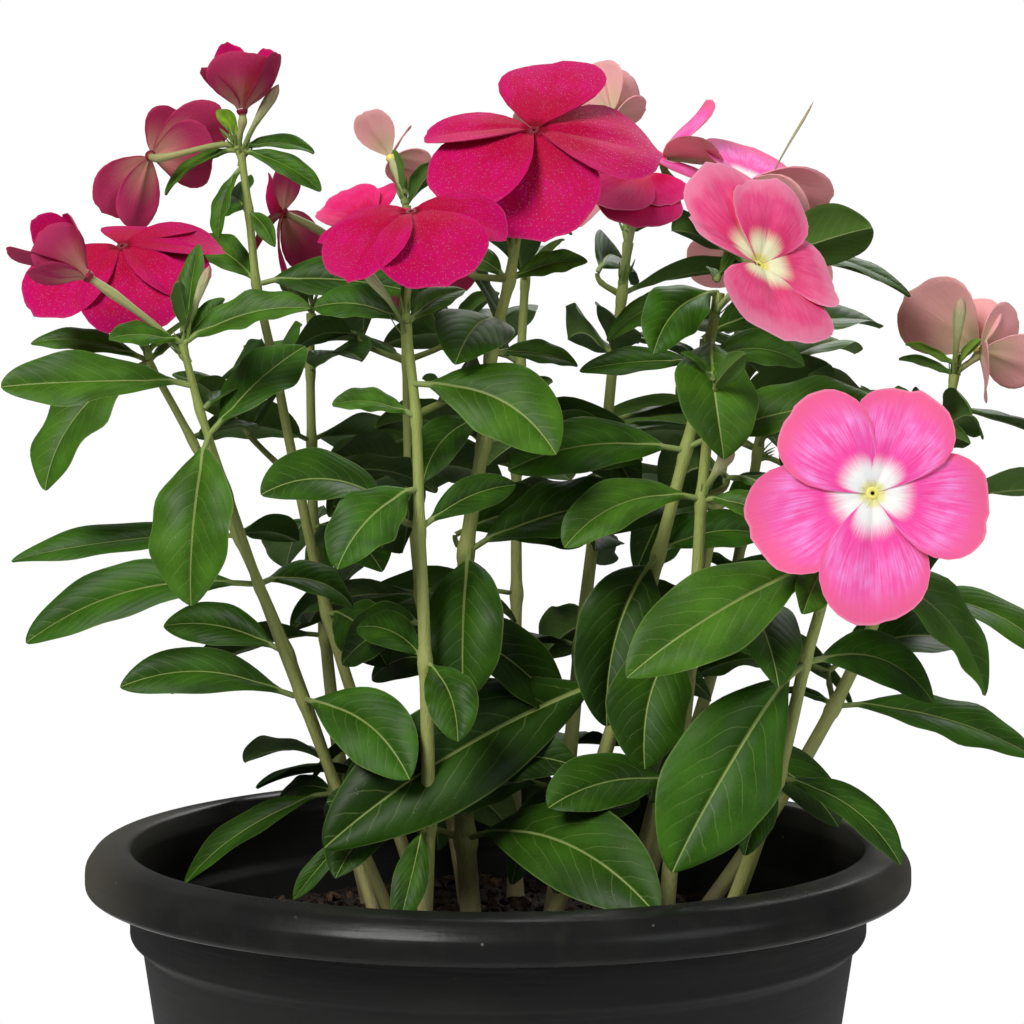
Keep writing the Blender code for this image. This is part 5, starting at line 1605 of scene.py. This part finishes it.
# Buds. Spindles with their petals rolled round each other, so that a soft twist runs up them.
BUD_STATIONS = 26
BUD_SIDES = 20
BUD_FOLDS = 5
BUD_HEIGHTS = (0, 0.15, 0.45, 0.62, 0.78, 0.9, 1)
BUD_WIDTHS = (0.55, 0.42, 0.48, 0.85, 1.0, 0.72, 0.06)
BUD_SIZES = (0.8, 0.7, 0.9, 0.2, 0.9, 0.6, 0.9)
along = np.linspace(0, 1, BUD_STATIONS)
bud_routes = np.array([bud_route(SHOOTS[owner], share, tip, BUD_STATIONS) for owner, share, tip in BUDS])
bud_radii = np.array(BUD_SIZES)[:, None] * np.interp(along, BUD_HEIGHTS, BUD_WIDTHS) * BUD_RADIUS
twist = BUD_FOLDS * (np.arange(BUD_SIDES) * 2 * math.pi / BUD_SIDES)[None] + 5.0 * along[:, None]
folds = 1 + 0.10 * np.cos(twist) * np.clip((along - 0.5) / 0.2, 0, 1)[:, None]
buds = pipes("buds", bud_routes, bud_radii, BUD_SIDES, folds)
rolled = Finish("bud_skin", Specular_IOR_Level=0.4)
place = rolled.own_map()
high = rolled.axis(place, "Y")
streak = rolled.noise(rolled.stretch(place, (20.0, 8.0, 1.0)), 1.0, 2.0)
colour = rolled.mix(rolled.between(high, 0.3, 0.62), (0.22, 0.30, 0.07), (0.50, 0.52, 0.26))
flush = rolled.between(high + (streak - 0.5) * 0.2, 0.68, 0.98) * 0.7
colour = rolled.mix(flush, colour, (0.62, 0.30, 0.27))
rolled.cover(colour, 0.45 + streak * 0.15, streak, 0.3 * MM)
finish_piece(buds, rolled)


# Sepals. Five narrow, pointed green blades round the foot of each tube and bud.
SEPALS = 5
SEPAL_ROWS = 7
SEPAL_LENGTH = 5.5 * MM
SEPAL_WIDTH = 0.2
SEPAL_PLACES = np.array((-1, -0.5, 0, 0.5, 1))
tube_feet = []
for name, (owner, share, *_) in BLOOMS.items():
    centre, faces = bloom_heart(name)
    tube_feet.append(bloom_route(SHOOTS[owner], share, centre / MM, faces, 24))
sepal_arcs = []
spring = random.Random(7)
for route in (*tube_feet, *bud_routes):
    way = unit(route[3] - route[1])
    side, up = across(way)
    for number in range(SEPALS):
        angle = 2 * math.pi * (number + spring.uniform(-0.15, 0.15)) / SEPALS
        out = side * math.cos(angle) + up * math.sin(angle)
        lean = unit(way + out * spring.uniform(0.3, 0.7))
        inward = -unit(np.cross(np.cross(lean, out), lean))
        length = SEPAL_LENGTH * spring.uniform(0.7, 1.2)
        sepal_arcs.append(Arc(route[2] + out * 0.5 * MM, lean, inward, length, -6, -30))


def sepal_grids(arcs):
    """Narrow blades that taper from a broad foot to a point, a little hollow across."""
    t = SEPAL_PLACES[None, :]
    b = np.linspace(0, 1, SEPAL_ROWS)[:, None]
    tops = []
    unders = []
    for arc in arcs:
        half = SEPAL_WIDTH * arc.length * (1 - b) ** 0.7 * (0.6 + 0.6 * b) / 2 + 0.05 * MM
        side = np.cross(arc.ahead, arc.up)
        normal = arc.normal(b[..., None])
        middle = arc.point(b[..., None]) + side * (half * t)[..., None]
        hollow = half * 0.3 * t ** 2
        depth = 0.14 * MM * (1 - np.abs(t) * 0.6) * (1 - 0.7 * b)
        tops.append(middle + normal * (hollow + depth)[..., None])
        unders.append(middle + normal * (hollow - depth)[..., None])
    return np.array(tops), np.array(unders), b[:, 0]


top, under, along = sepal_grids(sepal_arcs)
sepals = sheets("sepals", top, under, SEPAL_PLACES, along, np.zeros(len(top)))
calyx = Finish("sepal_skin", Specular_IOR_Level=0.4)
streak = calyx.noise(calyx.stretch(calyx.own_map(), (40.0, 6.0, 1.0)), 1.0, 2.0)
colour = calyx.mix(streak, (0.12, 0.21, 0.03), (0.25, 0.36, 0.08))
calyx.cover(colour, 0.42 + streak * 0.15, streak, 0.2 * MM)
finish_piece(sepals, calyx)


# Studio: a pale floor, a large soft light from the upper left, a weaker one from the right, one
# from behind and above, and the camera in front of the plant at half a metre.
FLOOR_RADIUS = 0.43
FLOOR_DEPTH = 0.01
CAMERA_PLACE = (0.00314, -0.512, 0.249)
CAMERA_DIP = 1.54
CAMERA_LENS = 77.34


def soft_light(name, place, aim, width, power, tone=(1.0, 1.0, 1.0)):
    """A round area light at a place, turned to its aim."""
    lamp = bpy.data.lights.new(name, "AREA")
    lamp.shape = "DISK"
    lamp.size = width
    lamp.energy = power
    lamp.color = tone
    holder = bpy.data.objects.new(name, lamp)
    bpy.context.scene.collection.objects.link(holder)
    toward = unit(np.array(aim, float) - np.array(place, float))
    holder.location = place
    holder.rotation_euler = (math.acos(-toward[2]), 0, math.atan2(-toward[0], toward[1]))


soft_light("key", (-0.65, -1.0, 1.15), (0, 0, 0.22), 0.7, 21, (1.0, 0.99, 0.96))
soft_light("fill", (1.1, -0.9, 0.6), (0, 0, 0.22), 1.0, 5, (0.96, 0.98, 1.0))
soft_light("back", (0.3, 0.9, 1.2), (0, 0, 0.25), 1.0, 12)
disc = [(0, 0), (FLOOR_RADIUS, 0), (FLOOR_RADIUS, -FLOOR_DEPTH), (0, -FLOOR_DEPTH)]
floor = turned("floor", disc, 96)
pale = Finish("pale_floor", Roughness=0.85)
pale.set("Base Color", (0.9, 0.9, 0.9))
pale.set("Emission Color", (1.0, 1.0, 1.0))
pale.set("Emission Strength", 0.1)
floor.data.materials.append(pale.material)
world = bpy.data.worlds.new("room")
bpy.context.scene.world = world
world.use_nodes = True
room = world.node_tree
sky = room.nodes["Background"]
sky.inputs["Color"].default_value = (1, 1, 1, 1)
seen = room.nodes.new("ShaderNodeLightPath")
dim = room.nodes.new("ShaderNodeMapRange")
dim.inputs["To Min"].default_value = 0.12
dim.inputs["To Max"].default_value = 1.0
room.links.new(seen.outputs["Is Camera Ray"], dim.inputs["Value"])
room.links.new(dim.outputs[0], sky.inputs["Strength"])
bpy.context.scene.view_settings.view_transform = "Standard"

camera = bpy.data.objects.new("camera", bpy.data.cameras.new("camera"))
bpy.context.scene.collection.objects.link(camera)
camera.data.sensor_width = 36.0
camera.data.lens = CAMERA_LENS
camera.location = CAMERA_PLACE
camera.rotation_euler = (math.radians(90 - CAMERA_DIP), 0, 0)
bpy.context.scene.camera = camera

bpy.context.view_layer.update()
